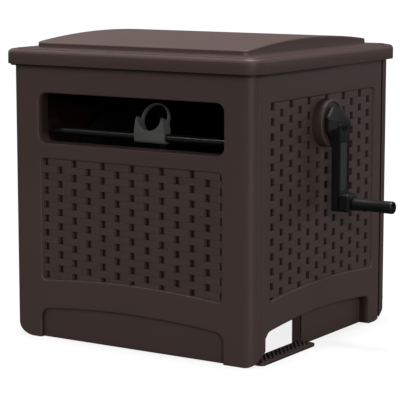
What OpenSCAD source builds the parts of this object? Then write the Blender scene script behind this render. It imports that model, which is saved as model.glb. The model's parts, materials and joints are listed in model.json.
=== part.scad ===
// Hose reel box: four moulded walls with woven fields, a crowned lid, and inside them
// a hose reel that a side crank turns through a pair of gears.
// Front is -Y, the crank side is +X, +Z is up, and the floor is Z = 0.

/* [Box] */
// Width of the box between its side walls' outer faces
body_w = 527; // [480:1:600]
// Depth of the box between its front and back outer faces
body_d = 502; // [460:1:560]
// Thickness of every moulded wall
skin = 3.2; // [2.4:0.1:4]
// Radius of the two upright front corners
front_corner_r = 19; // [12:1:24]
// Radius of the two upright back corners
back_corner_r = 10; // [6:1:13]
// Radius of the box's lower corners
foot_round_r = 44; // [30:1:48]
// Height to which the crank side's front foot slants up at the way out
foot_lift = 24; // [16:1:30]
// How far the front wall turns round the corner onto the sides
front_return = 26; // [25:0.5:32]
// How far the back wall turns round the corner onto the sides
back_return = 15; // [14:0.5:20]
// Width of the inner flanges that join two walls
flange_w = 22; // [18:1:26]
// Width of the ledge along the top of the walls
rim_w = 24; // [16:1:26]

/* [Hose window] */
// Distance from each side face to the slot that the hose comes out of
window_margin = 61; // [54:1:90]
// Height of the slot's lower edge above the floor
window_low = 369; // [360:1:376]
// Height of the slot's upper edge above the floor
window_high = 461; // [450:1:475]
// Corner radius of the slot
window_r = 16; // [8:1:24]
// Depth of the frame behind the slot
window_reveal = 28; // [20:1:32]

/* [Woven fields] */
// Distance from each side face to the front wall's field
front_field_margin = 66; // [61:1:90]
// Distance from the front and back faces to the side walls' fields
side_field_margin = 55.5; // [51:0.5:80]
// Distance from each side face to the back wall's field
back_field_margin = 68; // [61:1:90]
// Height of a field's lower corners above the floor
field_low = 110; // [95:1:125]
// Rise of a field's lower edge at the middle
field_rise = 10.5; // [4:0.5:16]
// Upper edge of the front field
front_field_high = 339.5; // [320:0.5:345]
// Upper edge of the side and back fields
side_field_high = 460; // [456:1:470]
// Corner radius of a field
field_r = 8; // [4:1:14]
// Depth from the wall's face to the floor of a field
field_depth = 12; // [10:0.5:15]
// Distance between two upright stakes
stake_pitch = 32.3; // [26:0.1:40]
// Height of one woven strand
strand_pitch = 13.25; // [10:0.25:18]
// Width of the gap in which a stake shows
pocket_w = 13.5; // [10:0.5:16]
// Width of a stake
stake_w = 5; // [3:0.5:7]
// Height of a stake over the woven panel's base
stake_rise = 1.6; // [0.8:0.1:2.2]
// Height of a strand's ends over the base
strand_end_rise = 4.2; // [1:0.1:5]
// Height of a strand's crest over the base
strand_crest_rise = 6; // [2.6:0.1:7]
// Thickness of the woven panel's base
weave_base = 2; // [1.4:0.1:3]

/* [Base arches] */
// Distance from each side face to the front and back arches
front_arch_margin = 62; // [58:1:90]
// Distance from the front and back faces to the side arches, before their offset
side_arch_margin = 55.5; // [51:0.5:80]
// Offset of the side arches towards the back
side_arch_shift = -10; // [-14:1:6]
// Height of an arch at its ends
arch_end_z = 54; // [40:1:62]
// Rise of an arch at the middle
arch_rise = 11.5; // [4:0.5:16]
// Corner radius of an arch
arch_r = 16; // [8:1:22]
// Depth of the front, left and back arches
front_arch_depth = 9; // [6:0.5:14]
// Depth of the crank side's arch
side_arch_depth = 21; // [14:0.5:24]
// Width of the leader hose's way out at the front end of the crank side's arch
cutout_w = 162; // [120:1:170]
// Depth of the wall that edges the way out
cutout_return = 20; // [12:1:26]

/* [Lid] */
// Overhang of the lid at the front and the sides
lid_lip = 14; // [13:0.5:15]
// Overhang of the lid at the back
lid_back_lip = 18; // [17.5:0.5:22]
// Height of the lid's lower edge above the floor
lid_low = 513; // [512:0.5:522]
// Height of the lid's ledge above the floor
ledge_z = 543; // [541:0.5:552]
// Height of the crown's front and back edges
crown_edge_z = 551; // [550:0.5:556]
// Height of the crown's crest, the highest point of the lid
crown_z = 565; // [560:0.5:572]
// Corner radius of the lid in plan
lid_corner_r = 20; // [18:1:40]
// Radius of the lid's outer upper edge
lid_edge_r = 8; // [6:0.5:10]
// Distance from the lid's edge to its raised ledge
step_inset = 10; // [8:0.5:10.5]
// Height of the raised ledge over the lid's outer edge
step_rise = 4; // [2:0.5:5]
// Distance from the lid's edge to its crown
crown_inset = 45; // [42:1:60]
// Corner radius of the crown in plan
crown_corner_r = 14; // [8:1:24]

/* [Hinges] */
// Distance from the back wall's face to the hinge axis
hinge_gap = 8; // [7.5:0.1:8.5]
// Distance from the lid's lower edge down to the hinge axis
hinge_drop = 8; // [8:0.1:9]
// Diameter of a hinge knuckle
knuckle_d = 14; // [12:0.5:14]
// Diameter of a hinge pin
hinge_pin_d = 6; // [5:0.5:8]
// Distance between the middles of the two hinges
hinge_span = 340; // [240:5:380]
// Width of the lid's knuckle
lug_w = 30; // [20:1:40]
// Width of each ear on the back wall
ear_w = 12; // [8:1:16]

/* [Reel] */
// Height of the reel's axis above the floor
reel_z = 262; // [258:1:266]
// Distance from the box's left face to the left flange
reel_inset = 60.5; // [60:0.5:66]
// Distance from the box's crank side face to the reel's gear
drive_inset = 59.5; // [59:0.5:66]
// Diameter of the flanges
reel_flange_d = 304; // [260:2:310]
// Thickness of a flange
reel_flange_t = 5; // [4:0.5:6]
// Width of a flange's rim bead
bead_w = 6; // [4:0.5:10]
// Height of a flange's rim bead
bead_h = 2; // [1:0.5:2.5]
// Diameter of the drum
drum_d = 130; // [110:2:150]
// Thickness of the drum's wall
drum_wall = 4; // [3:0.5:6]

/* [Gears] */
// Module of the teeth
gear_module = 4; // [3.98:0.01:4.04]
// Teeth on the reel's gear
gear_teeth = 54; // [53:1:55]
// Teeth on the crank's pinion
pinion_teeth = 20; // [19:1:20]
// Width of the gears
gear_w = 18; // [12:1:19]
// Play between two teeth
backlash = 0.6; // [0.4:0.05:0.9]

/* [Crank] */
// Distance from the crank's axis to the grip's axis
crank_r = 146; // [120:1:160]
// Width of the arm
arm_w = 37; // [28:1:40]
// Thickness of the arm
arm_t = 18; // [14:0.5:22]
// Width across the hub's base
hub_w = 60; // [50:1:70]
// Width across the hub's flat tip
hub_tip_w = 14; // [10:0.5:20]
// Length of the hub
hub_l = 32; // [30:0.5:40]
// Length of the block that holds the grip
block_l = 36; // [30:0.5:42]
// Diameter of the grip
grip_d = 23; // [20:0.5:30]
// Length of the grip
grip_l = 82; // [70:1:110]
// Diameter of the round boss that carries the crank
boss_d = 88; // [80:1:92]
// How far the boss stands out of the wall's face
boss_proud = 17; // [15.5:0.5:22]
// Diameter of the crank's shaft
shaft_d = 16; // [12:0.5:18]
// Diameter of the grip's pin
grip_pin_d = 10; // [8:0.5:11]

/* [Hose guide] */
// Diameter of the rod
rod_d = 16; // [12:0.5:18]
// Height of the rod's axis above the floor
rod_z = 388; // [384:1:392]
// Distance from the front face back to the rod's axis
rod_back = 45; // [43:0.5:50]
// Where the guide stands at rest, to the right of the box's middle
guide_rest_x = 22.5; // [-60:0.5:60]
// Width of the guide
guide_w = 62; // [54:1:80]
// Diameter of the guide's eye
eye_d = 46; // [40:1:46]
// Wall of the guide's eye
eye_wall = 4; // [3:0.5:6]
// Length of the guide's eye
eye_l = 20; // [14:1:24]
// Distance from the rod's axis to the middle of the eye
eye_rise = 34; // [34:0.1:38]
// Lean of the eye towards the back, in degrees
eye_lean = 20; // [0:1:25]

/* [Water way] */
// Outside diameter of the two hose connections
thread_d = 26.4; // [24:0.1:30]
// Length of a hose connection
thread_l = 20; // [14:1:24]
// Bore of a hose connection
water_bore_d = 15; // [10:0.5:17]
// Diameter of the hollow axle
water_axle_d = 32; // [30:0.5:36]
// Bore of the hollow axle, in which the swivel's spigot turns
swivel_d = 20; // [18:0.5:21]
// Diameter of the crank side's axle
gear_axle_d = 28; // [22:0.5:32]

/* [Foot plate] */
// Width of the plate
plate_w = 38; // [30:1:44]
// Length of the plate
plate_l = 190; // [150:1:210]
// Thickness of the plate
plate_t = 6; // [4:0.5:7]
// How far the plate stands out of the wall's face
plate_proud = 5; // [2:0.5:12]
// Diameter of an anti-slip stud
stud_d = 6; // [4:0.5:8]

/* [Hidden] */
$fn = 48;
// Steps along each rounded corner of an outline
arc_steps = 6;
// Steps along a wide shallow arch
arch_steps = 12;
// One overrun for all cuts
over = 5;
// Joint between two walls
seam = 0.3;
// Gap round a piece that is set into another
fit = 0.3;
// Radial clearance of a shaft in its bore
running = 0.05;
// Play beside a turning or sliding piece
play = 0.5;
// Gap under the lid's ledge
lid_seat = 0.4;

shell_colour = "#43352f";
black = "#17181a";
grey = "#4a4947";
steel = "#9a9b9d";
nylon = "#d8d4c8";
rubber = "#1b1b1c";

// Wall and lid levels
wall_h = ledge_z - skin - lid_seat;
flange_low = arch_end_z + arch_rise + arch_r;
half_w = body_w / 2;
half_d = body_d / 2;
window_w = body_w - 2 * window_margin;
front_field_w = body_w - 2 * front_field_margin;
side_field_w = body_d - 2 * side_field_margin;
back_field_w = body_w - 2 * back_field_margin;
front_arch_w = body_w - 2 * front_arch_margin;
side_arch_w = body_d - 2 * side_arch_margin;
pan_back = field_depth + skin;
front_fold = -half_d + front_return;
back_fold = half_d - back_return;
lid_w = body_w + 2 * lid_lip;
lid_d = body_d + lid_lip + lid_back_lip;
lid_mid_y = (lid_back_lip - lid_lip) / 2;
hinge_y = half_d + hinge_gap;
hinge_z = lid_low - hinge_drop;
shoulder_z = ledge_z - step_rise;
step_r = 3;
step_hollow_r = 0.5;
step_wall = lid_lip - step_inset - 2 * lid_seat;

// Reel, left to right
flange_l_out = -half_w + reel_inset;
flange_l_in = flange_l_out + reel_flange_t;
gear_gap = 3;
gear_x1 = half_w - drive_inset;
gear_x0 = gear_x1 - gear_w;
flange_r_out = gear_x0 - gear_gap;
flange_r_in = flange_r_out - reel_flange_t;
gear_r = gear_module * gear_teeth / 2;
pinion_r = gear_module * pinion_teeth / 2;
crank_z = reel_z + gear_r + pinion_r;
pressure_angle = 20;
tip_share = 0.9;
root_share = 1.2;

// Brackets that carry the reel
bracket_t = 6;
post_l = 30;
post_d = 18;
bracket_out = half_w - pan_back - post_l;
bracket_in = bracket_out - bracket_t;
bush_wall = 4;
bush_flange_t = 3;
bush_flange_w = 5;
foot_post_y = 70;
foot_post_rise = 45;
left_post_y = 40;
left_post_rise = 70;
right_post_y = 30;
right_post_rise = 30;
foot_post = [foot_post_y, field_low + field_rise + foot_post_rise];
left_top_post = [left_post_y, reel_z + left_post_rise];
right_top_post = [right_post_y, crank_z + right_post_rise];
screw_d = 5;
screw_head_d = 10;
screw_head_t = 3.5;
screw_l = 22;

// Crank, from the wall outwards
boss_face = half_w + boss_proud;
boss_rim_w = 6;
boss_dish = 3;
spigot_d = 60;
spigot_l = 6;
hub_gap = 1;
hub_base = 6;
hub_x0 = boss_face + hub_gap;
hub_x1 = hub_x0 + hub_l;
arm_x0 = hub_x0 + hub_base;
arm_x1 = arm_x0 + arm_t;
block_x1 = arm_x0 + block_l;
block_below = 14;
block_above = 19;
shaft_cover = 2;
shaft_x1 = arm_x1 - shaft_cover;
channel_wall = 4;
channel_w = arm_w - 2 * channel_wall;
channel_t = 3;
channel_r = 8;
channel_top_r = 1;
channel_gap = 4;
channel_top = hub_w / 2 + channel_gap;
pin_head_d = 16;
pin_head_t = 3;
pin_root_l = 24;
grip_x0 = block_x1 + play;
grip_x1 = grip_x0 + grip_l;
grip_recess = 11;
grip_waist = 2;
grip_edge = 3;

// Hose guide
rod_y = -half_d + rod_back;
socket_x0 = window_w / 2 + skin + fit;
socket_l = 20;
socket_deep = 14;
socket_h = 44;
socket_back = 17;
saddle_wall = 3;
saddle_d = rod_d + 2 * saddle_wall;
saddle_r = 6;
horn_z = eye_rise * cos(eye_lean);
horn_draw = 2;
horn_r = 2;

// Water way
cup_wall = 5;
cup_gap = 3;
cup_flange_t = 4;
cup_flange_w = 12;
cup_play = 1;
axle_out = 2.2;
axle_end = -bracket_out - axle_out;
cup_floor = axle_end - cup_play;
cup_back = -half_w + pan_back + cup_play;
cup_d = water_axle_d + 2 * cup_gap + 2 * cup_wall;
cup_screw_count = 3;
leg_gap = 20;
leg_x = -half_w + pan_back + leg_gap;
leg_wall = 1;
leg_d = thread_d + 2 * leg_wall;
leg_neck = 2;
leg_play = 2;
leg_l = 52;
spigot_in = 28;
spigot_bore_d = 10;
ring_d = 2.6;
ring_gap = 8;
axle_tail = 48;
axle_flange_d = 62;
axle_flange_t = 4;
outlet_in = 34;
outlet_x = flange_l_in + outlet_in;
outlet_root = 18;
outlet_root_d = 24;
outlet_proud = 1;
tee_gap = 1;
tee_wall = 4;
tee_r = thread_d / 2 + tee_wall;
tee_l = sqrt(pow(drum_d / 2 - drum_wall, 2) - pow(tee_r, 2)) - tee_gap;
end_wall = 5;

// Foot plate
plate_x1 = half_w + plate_proud;
plate_x0 = plate_x1 - plate_w;
plate_gap = 1;
plate_y0 = front_fold + plate_gap;
plate_r = 8;
stud_h = 3;
stud_rows = 3;
stud_columns = 13;
foot_roll_x0 = front_arch_w / 2;
foot_roll_x1 = half_w - skin - fit;
cutout_y0 = side_arch_shift - side_arch_w / 2;
cutout_y1 = cutout_y0 + cutout_w;
tab_w = 12;
tab_t = 6;
tab_h = 40;

// Wall screws at three heights in each corner
wall_screw_d = 4;
wall_screw_zs = [for (share = [0.25, 0.55, 0.85]) share * wall_h];

// The middle of the whole part's length and depth is over the origin
origin_shift = [-(grip_x1 - lid_w / 2) / 2, -lid_mid_y, 0];

// Helpers

module placed() translate(origin_shift) children();

// A block between two opposite corners
module block(lo, hi) translate(lo) cube(hi - lo);

// A round bar along X from one place to another
module bar_x(x0, x1, d) translate([x0, 0, 0]) rotate([0, 90, 0]) cylinder(h = x1 - x0, d = d);

function arc(c, r, a0, a1, n = arc_steps) =
  [for (i = [0 : n]) let (a = a0 + (a1 - a0) * i / n) c + r * [cos(a), sin(a)]];

// Radius of an arc of a given width and rise
function arch_radius(w, rise) = (w * w / 4 + rise * rise) / (2 * rise);

// Outline of a rounded oblong, with its own radii at the lower and upper corners
function oblong(w, y0, y1, r0, r1) = concat(
  arc([-w / 2 + r0, y0 + r0], r0, 180, 270), arc([w / 2 - r0, y0 + r0], r0, 270, 360),
  arc([w / 2 - r1, y1 - r1], r1, 0, 90), arc([-w / 2 + r1, y1 - r1], r1, 90, 180));

// Plan of the walls, drawn in by an inset
module plan(inset) polygon(oblong(body_w - 2 * inset, -half_d + inset, half_d - inset,
  max(front_corner_r - inset, inset), max(back_corner_r - inset, inset)));

// What the front elevation holds: the lower corner away from the crank is round
module in_front_elevation() rotate([90, 0, 0]) linear_extrude(body_d + over, center = true)
  polygon(concat([[half_w, 0], [half_w, wall_h], [-half_w, wall_h]],
    arc([-half_w + foot_round_r, foot_round_r], foot_round_r, 180, 270)));

// What the side elevation holds: the back lower corner is round
module in_side_elevation() rotate([90, 0, 90]) linear_extrude(body_w + over, center = true)
  polygon(concat([[half_d, wall_h], [-half_d, wall_h], [-half_d, 0]],
    arc([half_d - foot_round_r, foot_round_r], foot_round_r, 270, 360)));

// What the crank side's front foot leaves out: it slants up round the corner to the way out
module foot_slant(reach) translate([half_w - reach, 0, 0]) rotate([90, 0, 90])
  linear_extrude(reach + over)
    polygon([[-half_d, 0], [-half_d, -over], [cutout_y0, -over], [cutout_y0, foot_lift]]);

// The back feet: the wall rolls under along the round of the side elevation
module foot_rolls() for (s = [-1, 1]) translate([s * (foot_roll_x0 + foot_roll_x1) / 2, 0, 0])
  rotate([90, 0, 90]) linear_extrude(foot_roll_x1 - foot_roll_x0, center = true) difference() {
    polygon(concat([[half_d - foot_round_r, foot_round_r]],
      arc([half_d - foot_round_r, foot_round_r], foot_round_r, 270, 360)));
    translate([half_d - foot_round_r, foot_round_r]) circle(r = foot_round_r - skin, $fn = 96);
  }

module window_outline(grow) polygon(oblong(window_w + 2 * grow, window_low - grow,
  window_high + grow, window_r + grow, window_r + grow));

// A woven field: an oblong whose lower edge is a shallow arch
module field_outline(w, high, grow) difference() {
  polygon(oblong(w + 2 * grow, field_low - grow, high + grow, field_r + grow, field_r + grow));
  translate([0, field_low + field_rise - grow])
    polygon(arch_below(w + 2 * over + 2 * grow, field_rise * pow(1 + 2 * over / w, 2)));
}

// What lies below a shallow arch whose crest is at zero
function arch_below(w, rise) = let (r = arch_radius(w, rise), a = asin(w / 2 / r))
  concat([[w / 2, -rise - over], [-w / 2, -rise - over]],
    [for (i = [0 : arch_steps]) let (t = a * (2 * i / arch_steps - 1))
      [r * sin(t), r * (cos(t) - 1)]]);

// A base arch, open at the floor
module arch_outline(w, grow, below) intersection() {
  polygon(oblong(w + 2 * grow, -arch_r * 2 - below, arch_end_z + arch_rise + grow, arch_r, arch_r));
  translate([0, arch_end_z + arch_rise + grow])
    polygon(concat([[w, -arch_end_z * 2], [-w, -arch_end_z * 2]],
      [for (p = arch_below(w + 2 * grow, arch_rise)) if (p[1] > -arch_rise - over) p]));
  translate([-w, -below]) square([2 * w, 2 * arch_end_z + below]);
}

// Carries an outline into a wall, from one depth to another; turn 0 is the front wall
module into_wall(turn, half, from, to) rotate([0, 0, turn]) translate([0, -half + to, 0])
  rotate([90, 0, 0]) linear_extrude(to - from) children();

module into_front(from, to) into_wall(0, half_d, from, to) children();
module into_right(from, to) into_wall(90, half_w, from, to) children();
module into_left(from, to) into_wall(-90, half_w, from, to) children();
module into_back(from, to) into_wall(180, half_d, from, to) children();

// Outer skin of all four walls, with the ledge along their top
module skins() {
  linear_extrude(wall_h) difference() {
    plan(0);
    plan(skin);
  }
  translate([0, 0, wall_h - skin]) linear_extrude(skin) difference() {
    plan(0);
    translate([-half_w + rim_w, front_fold]) square([body_w - 2 * rim_w, back_fold - front_fold]);
  }
}

module front_part() block([-body_w, -body_d, -over], [body_w, front_fold, wall_h + over]);
module back_part() block([-body_w, back_fold, -over], [body_w, body_d, wall_h + over]);
module side_part(side) translate([side > 0 ? 0 : -body_w, front_fold + seam, -over])
  cube([body_w, back_fold - front_fold - 2 * seam, wall_h + 2 * over]);

// An upright flange at each side of the box, in one plane across the depth
module flanges(y0, sides) for (s = sides)
  translate([s > 0 ? half_w - flange_w : -half_w + skin / 2, y0, flange_low])
    cube([flange_w - skin / 2, skin, wall_h - flange_low - skin / 2]);

// Holes for the wall screws, or the screws themselves
module screw_places(front, sides) for (s = sides, z = wall_screw_zs)
  translate([s * (half_w - flange_w / 2 - skin / 2), front ? front_fold : back_fold, z])
    rotate([90, 0, 0]) children();

module wall_screw_holes(front, sides) screw_places(front, sides)
  cylinder(h = 4 * skin, d = wall_screw_d + 2 * running, center = true);

// A sunk tray behind an outline: its sides and its floor
module field_tray(turn, half, w, high) difference() {
  into_wall(turn, half, 0, pan_back) field_outline(w, high, skin);
  into_wall(turn, half, -over, field_depth) field_outline(w, high, 0);
}

module arch_tray(turn, half, w, depth) difference() {
  into_wall(turn, half, 0, depth + skin) arch_outline(w, skin, 0);
  into_wall(turn, half, -over, depth) arch_outline(w, 0, over);
}

// Posts on a side wall that the reel's bracket is screwed to, as (y, z) places
function posts(top) = [for (p = [foot_post, top], s = [-1, 1]) [s * p[0], p[1]]];
module bracket_posts(side, top) for (p = posts(top)) translate([0, p[0], p[1]]) difference() {
  bar_x(side > 0 ? bracket_out : -half_w + field_depth + skin / 2,
    side > 0 ? half_w - field_depth - skin / 2 : -bracket_out, post_d);
  bar_x(side > 0 ? bracket_out - over : -bracket_out - screw_l,
    side > 0 ? bracket_out + screw_l : -bracket_out + over, screw_d + 2 * running);
}

// Walls

module front_wall() color(shell_colour) placed() difference() {
  union() {
    difference() {
      intersection() {
        skins();
        front_part();
        in_front_elevation();
      }
      foot_slant(front_corner_r);
      into_front(-over, skin + over) window_outline(0);
      into_front(-over, skin + over) field_outline(front_field_w, front_field_high, 0);
      into_front(-over, skin + over) arch_outline(front_arch_w, 0, over);
    }
    difference() {
      into_front(0, window_reveal) window_outline(skin);
      into_front(-over, window_reveal + over) window_outline(0);
    }
    field_tray(0, half_d, front_field_w, front_field_high);
    arch_tray(0, half_d, front_arch_w, front_arch_depth);
    flanges(front_fold - skin, [-1, 1]);
  }
  wall_screw_holes(true, [-1, 1]);
}

module side_wall(side) {
  turn = side * 90;
  difference() {
    union() {
      difference() {
        intersection() {
          skins();
          side_part(side);
          in_side_elevation();
        }
        into_wall(turn, half_w, -over, skin + over) field_outline(side_field_w, side_field_high, 0);
        translate([0, side_arch_shift, 0]) into_wall(turn, half_w, -over, skin + over)
          arch_outline(side_arch_w, 0, over);
      }
      field_tray(turn, half_w, side_field_w, side_field_high);
      translate([0, side_arch_shift, 0])
        arch_tray(turn, half_w, side_arch_w, side > 0 ? side_arch_depth : front_arch_depth);
      flanges(front_fold + seam, [side]);
      flanges(back_fold - seam - skin, [side]);
      bracket_posts(side, side > 0 ? right_top_post : left_top_post);
    }
    wall_screw_holes(true, [side]);
    wall_screw_holes(false, [side]);
    if (side > 0) foot_slant(side_arch_depth + skin + over);
    else block([-body_w, -half_d, -over], [0, cutout_y0, foot_round_r]);
  }
}

// Way out for the leader hose, through the floor of the crank side's arch
module hose_way() block([half_w - side_arch_depth - skin - over, cutout_y0, -over],
  [half_w - side_arch_depth + skin, cutout_y1, arch_end_z + arch_rise - skin]);

// Wall that edges the way out, as deep as the return
module hose_way_edge() intersection() {
  block([half_w - side_arch_depth - cutout_return, cutout_y1, 0],
    [half_w - side_arch_depth, cutout_y1 + skin, arch_end_z + arch_rise]);
  translate([0, side_arch_shift, 0]) into_right(0, side_arch_depth + cutout_return + over)
    arch_outline(side_arch_w, skin / 2, 0);
}

// Room for the foot plate under the wall
module plate_room() block([plate_x0 - fit, plate_y0 - fit, -over],
  [plate_x1 + over, plate_y0 + plate_l + fit, plate_t + stud_h + fit]);

module right_wall() color(shell_colour) placed() difference() {
  union() {
    difference() {
      side_wall(1);
      intersection() {
        hose_way();
        translate([0, side_arch_shift, 0]) into_right(0, side_arch_depth + skin + over)
          arch_outline(side_arch_w, 0, over);
      }
    }
    hose_way_edge();
  }
  plate_room();
  translate([0, 0, crank_z]) bar_x(half_w - pan_back - over, half_w, spigot_d + 2 * fit);
  boss_screw_places() bar_x(-over, pan_back, screw_d + 2 * running);
}

module left_wall() color(shell_colour) placed() side_wall(-1);

module back_wall() color(shell_colour) placed() difference() {
  union() {
    intersection() {
      union() {
        difference() {
          intersection() {
            skins();
            back_part();
          }
          into_back(-over, skin + over) field_outline(back_field_w, side_field_high, 0);
          into_back(-over, skin + over) arch_outline(front_arch_w, 0, over);
        }
        field_tray(180, half_d, back_field_w, side_field_high);
        arch_tray(180, half_d, front_arch_w, front_arch_depth);
        flanges(back_fold, [-1, 1]);
      }
      in_side_elevation();
    }
    foot_rolls();
    hinge_ears();
  }
  wall_screw_holes(false, [-1, 1]);
  hinge_places() bar_x(-lug_w, lug_w, hinge_pin_d + 2 * running);
}

// Screws through the flanges of two walls, headed inside the box
module wall_screws() color(steel) placed() {
  screw_places(true, [-1, 1]) translate([0, 0, -2 * skin]) wall_screw();
  screw_places(false, [-1, 1]) mirror([0, 0, 1]) translate([0, 0, -2 * skin]) wall_screw();
}

module wall_screw() {
  translate([0, 0, skin - seam - screw_head_t]) cylinder(h = screw_head_t, d = 2 * wall_screw_d);
  translate([0, 0, skin - seam - screw_head_t]) cylinder(h = 4 * skin, d = wall_screw_d);
}

// Woven fields

// Stake places over a width, one past each end
function stake_count(w) = 2 * ceil(w / stake_pitch / 2) + 2;
function stake_x(w, i) = (i - (stake_count(w) - 1) / 2) * stake_pitch;

// Shares of a strand's half length, and of its rise from end to crest
bulge_shares = [[-1, 0], [-0.6, 0.62], [0, 1], [0.6, 0.62], [1, 0]];

// One row's section: over every second stake the strand bulges, and at the others it dips
// behind the stake, which shows in a pocket
function strand_section(w, odd) = [for (i = [0 : stake_count(w) - 1], p = (i + odd) % 2 == 0
  ? [for (s = bulge_shares) [stake_x(w, i) + s[0] * (stake_pitch - pocket_w / 2),
      strand_end_rise + s[1] * (strand_crest_rise - strand_end_rise)]]
  : [for (s = [[-pocket_w / 2, 0], [-stake_w / 2, 0], [-stake_w / 2, stake_rise],
      [stake_w / 2, stake_rise], [stake_w / 2, 0], [pocket_w / 2, 0]])
      [stake_x(w, i) + s[0], s[1]]]) p];

module weave(turn, half, w, high) intersection() {
  rotate([0, 0, turn]) translate([0, -half, 0])
    for (row = [0 : ceil((high - field_low) / strand_pitch)]) {
      section = [for (q = strand_section(w, row % 2)) q + [0, weave_base]];
      reach = stake_x(w, stake_count(w) - 1) + stake_pitch;
      translate([0, field_depth, high - (row + 1) * strand_pitch]) linear_extrude(strand_pitch)
        polygon([for (p = concat([[-reach, 0]], section, [[reach, 0]])) [p[0], -p[1]]]);
    }
  into_wall(turn, half, 0, field_depth) field_outline(w, high, -fit);
}

module front_weave() color(shell_colour) placed() weave(0, half_d, front_field_w, front_field_high);

module right_weave() color(shell_colour) placed() difference() {
  weave(90, half_w, side_field_w, side_field_high);
  translate([0, 0, crank_z]) bar_x(half_w - field_depth - over, half_w + over, boss_d + 2 * fit);
}

module left_weave() color(shell_colour) placed() weave(-90, half_w, side_field_w, side_field_high);

// Lid and hinges

// A slab with rounded upright corners and a rounded upper edge
module soft_slab(w, d, r, z0, z1, edge) hull() for (sx = [-1, 1], sy = [-1, 1])
  translate([sx * (w / 2 - r), sy * (d / 2 - r), 0]) rotate_extrude($fn = 32)
    polygon(concat([[0, z0], [r, z0]], arc([r - edge, z1 - edge], edge, 0, 90), [[0, z1]]));

// The raised ledge round the crown, and the hollow under it, by inset, drop and edge radius
module lid_step(inset, drop, edge_r) soft_slab(lid_w - 2 * inset, lid_d - 2 * inset, lid_corner_r - inset,
  lid_low + skin, ledge_z - drop, edge_r);

// The crown: arched from front to back, drawn in and down by an inset
module crown(inset) {
  w = lid_w - 2 * crown_inset - 2 * inset;
  d = lid_d - 2 * crown_inset;
  rise = crown_z - crown_edge_z;
  intersection() {
    linear_extrude(crown_z) polygon(oblong(w, -d / 2 + inset, d / 2 - inset,
      crown_corner_r - inset, crown_corner_r - inset));
    translate([0, 0, crown_z - inset - arch_radius(d, rise)]) rotate([0, 90, 0])
      cylinder(h = lid_w, r = arch_radius(d, rise), center = true, $fn = 256);
  }
}

module hinge_places() for (s = [-1, 1]) translate([s * hinge_span / 2, hinge_y, hinge_z]) children();

// The lid's knuckles, each on a web up the inside of the lip
module lid_lugs() hinge_places() {
  bar_x(-lug_w / 2, lug_w / 2, knuckle_d);
  translate([-lug_w / 2, 0, 0])
    cube([lug_w, lid_back_lip - hinge_gap - skin / 2, shoulder_z - lid_edge_r - hinge_z]);
}

module hinge_ears() hinge_places() for (s = [-1, 1])
  translate([s * (lug_w / 2 + play + ear_w / 2) - ear_w / 2, 0, 0]) {
    bar_x(0, ear_w, knuckle_d);
    translate([0, -hinge_gap - skin / 2, -knuckle_d / 2])
      cube([ear_w, hinge_gap + skin / 2, knuckle_d]);
  }

module lid() color(shell_colour) placed() difference() {
  union() {
    translate([0, lid_mid_y, 0]) difference() {
      union() {
        soft_slab(lid_w, lid_d, lid_corner_r, lid_low, shoulder_z, lid_edge_r);
        lid_step(step_inset, 0, step_r);
        intersection() {
          crown(0);
          translate([0, 0, ledge_z - skin]) linear_extrude(crown_z)
            square(2 * lid_w, center = true);
        }
      }
      soft_slab(lid_w - 2 * skin, lid_d - 2 * skin, lid_corner_r - skin, lid_low - over,
        shoulder_z - skin, lid_edge_r - skin);
      lid_step(step_inset + step_wall, skin, step_hollow_r);
      intersection() {
        crown(skin);
        translate([0, 0, lid_low]) linear_extrude(crown_z) square(2 * lid_w, center = true);
      }
    }
    lid_lugs();
  }
  hinge_places() bar_x(-lug_w, lug_w, hinge_pin_d + 2 * running);
}

module hinge_pins() color(steel) placed() hinge_places()
  bar_x(-lug_w / 2 - play - ear_w, lug_w / 2 + play + ear_w, hinge_pin_d);

// Brackets and bearings

// Flat outline of a bracket, wide at its foot posts and narrow at its top posts
module bracket_outline(top) {
  foot = foot_post + [post_d, post_d];
  head = top + [post_d, post_d];
  polygon([[-foot[0], foot_post[1] - post_d], [foot[0], foot_post[1] - post_d], foot,
    [head[0], top[1] - post_d], head, [-head[0], head[1]], [-head[0], top[1] - post_d],
    [-foot[0], foot[1]]]);
}

module bracket(side, top, axle_d) difference() {
  translate([side > 0 ? bracket_in : -bracket_out, 0, 0]) rotate([90, 0, 90])
    linear_extrude(bracket_t) bracket_outline(top);
  translate([0, 0, reel_z]) bar_x(-half_w, half_w, axle_d + 2 * bush_wall + 4 * running);
  for (p = posts(top)) translate([0, p[0], p[1]]) bar_x(-half_w, half_w, screw_d + 2 * running);
}

module right_bracket() color(black) placed() difference() {
  bracket(1, right_top_post, gear_axle_d);
  translate([0, 0, crank_z])
    bar_x(bracket_in - over, bracket_out + over, shaft_d + 2 * bush_wall + 4 * running);
}

module left_bracket() color(black) placed() difference() {
  bracket(-1, left_top_post, water_axle_d);
  cup_screw_places() bar_x(-bracket_out - over, -bracket_in + over, screw_d + 2 * running);
  block([-half_w, -leg_d / 2 - leg_play, 0],
    [0, leg_d / 2 + leg_play, reel_z - cup_d / 2 - leg_neck + fit]);
}

module bracket_screws() color(steel) placed() for (side = [-1, 1])
  for (p = posts(side > 0 ? right_top_post : left_top_post)) translate([0, p[0], p[1]])
    mirror([side > 0 ? 0 : 1, 0, 0]) {
      bar_x(bracket_in - screw_head_t, bracket_in, screw_head_d);
      bar_x(bracket_in - screw_head_t, bracket_out + screw_l - bracket_t, screw_d);
    }

// A flanged bush in a bracket's hole, with its flange towards the reel
module bush(side, d) mirror([side > 0 ? 0 : 1, 0, 0]) difference() {
  union() {
    bar_x(bracket_in - bush_flange_t, bracket_out, d + 2 * running + 2 * bush_wall);
    bar_x(bracket_in - bush_flange_t, bracket_in, d + 2 * bush_wall + 2 * bush_flange_w);
  }
  bar_x(bracket_in - over, bracket_out + over, d + 2 * running);
}

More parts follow.
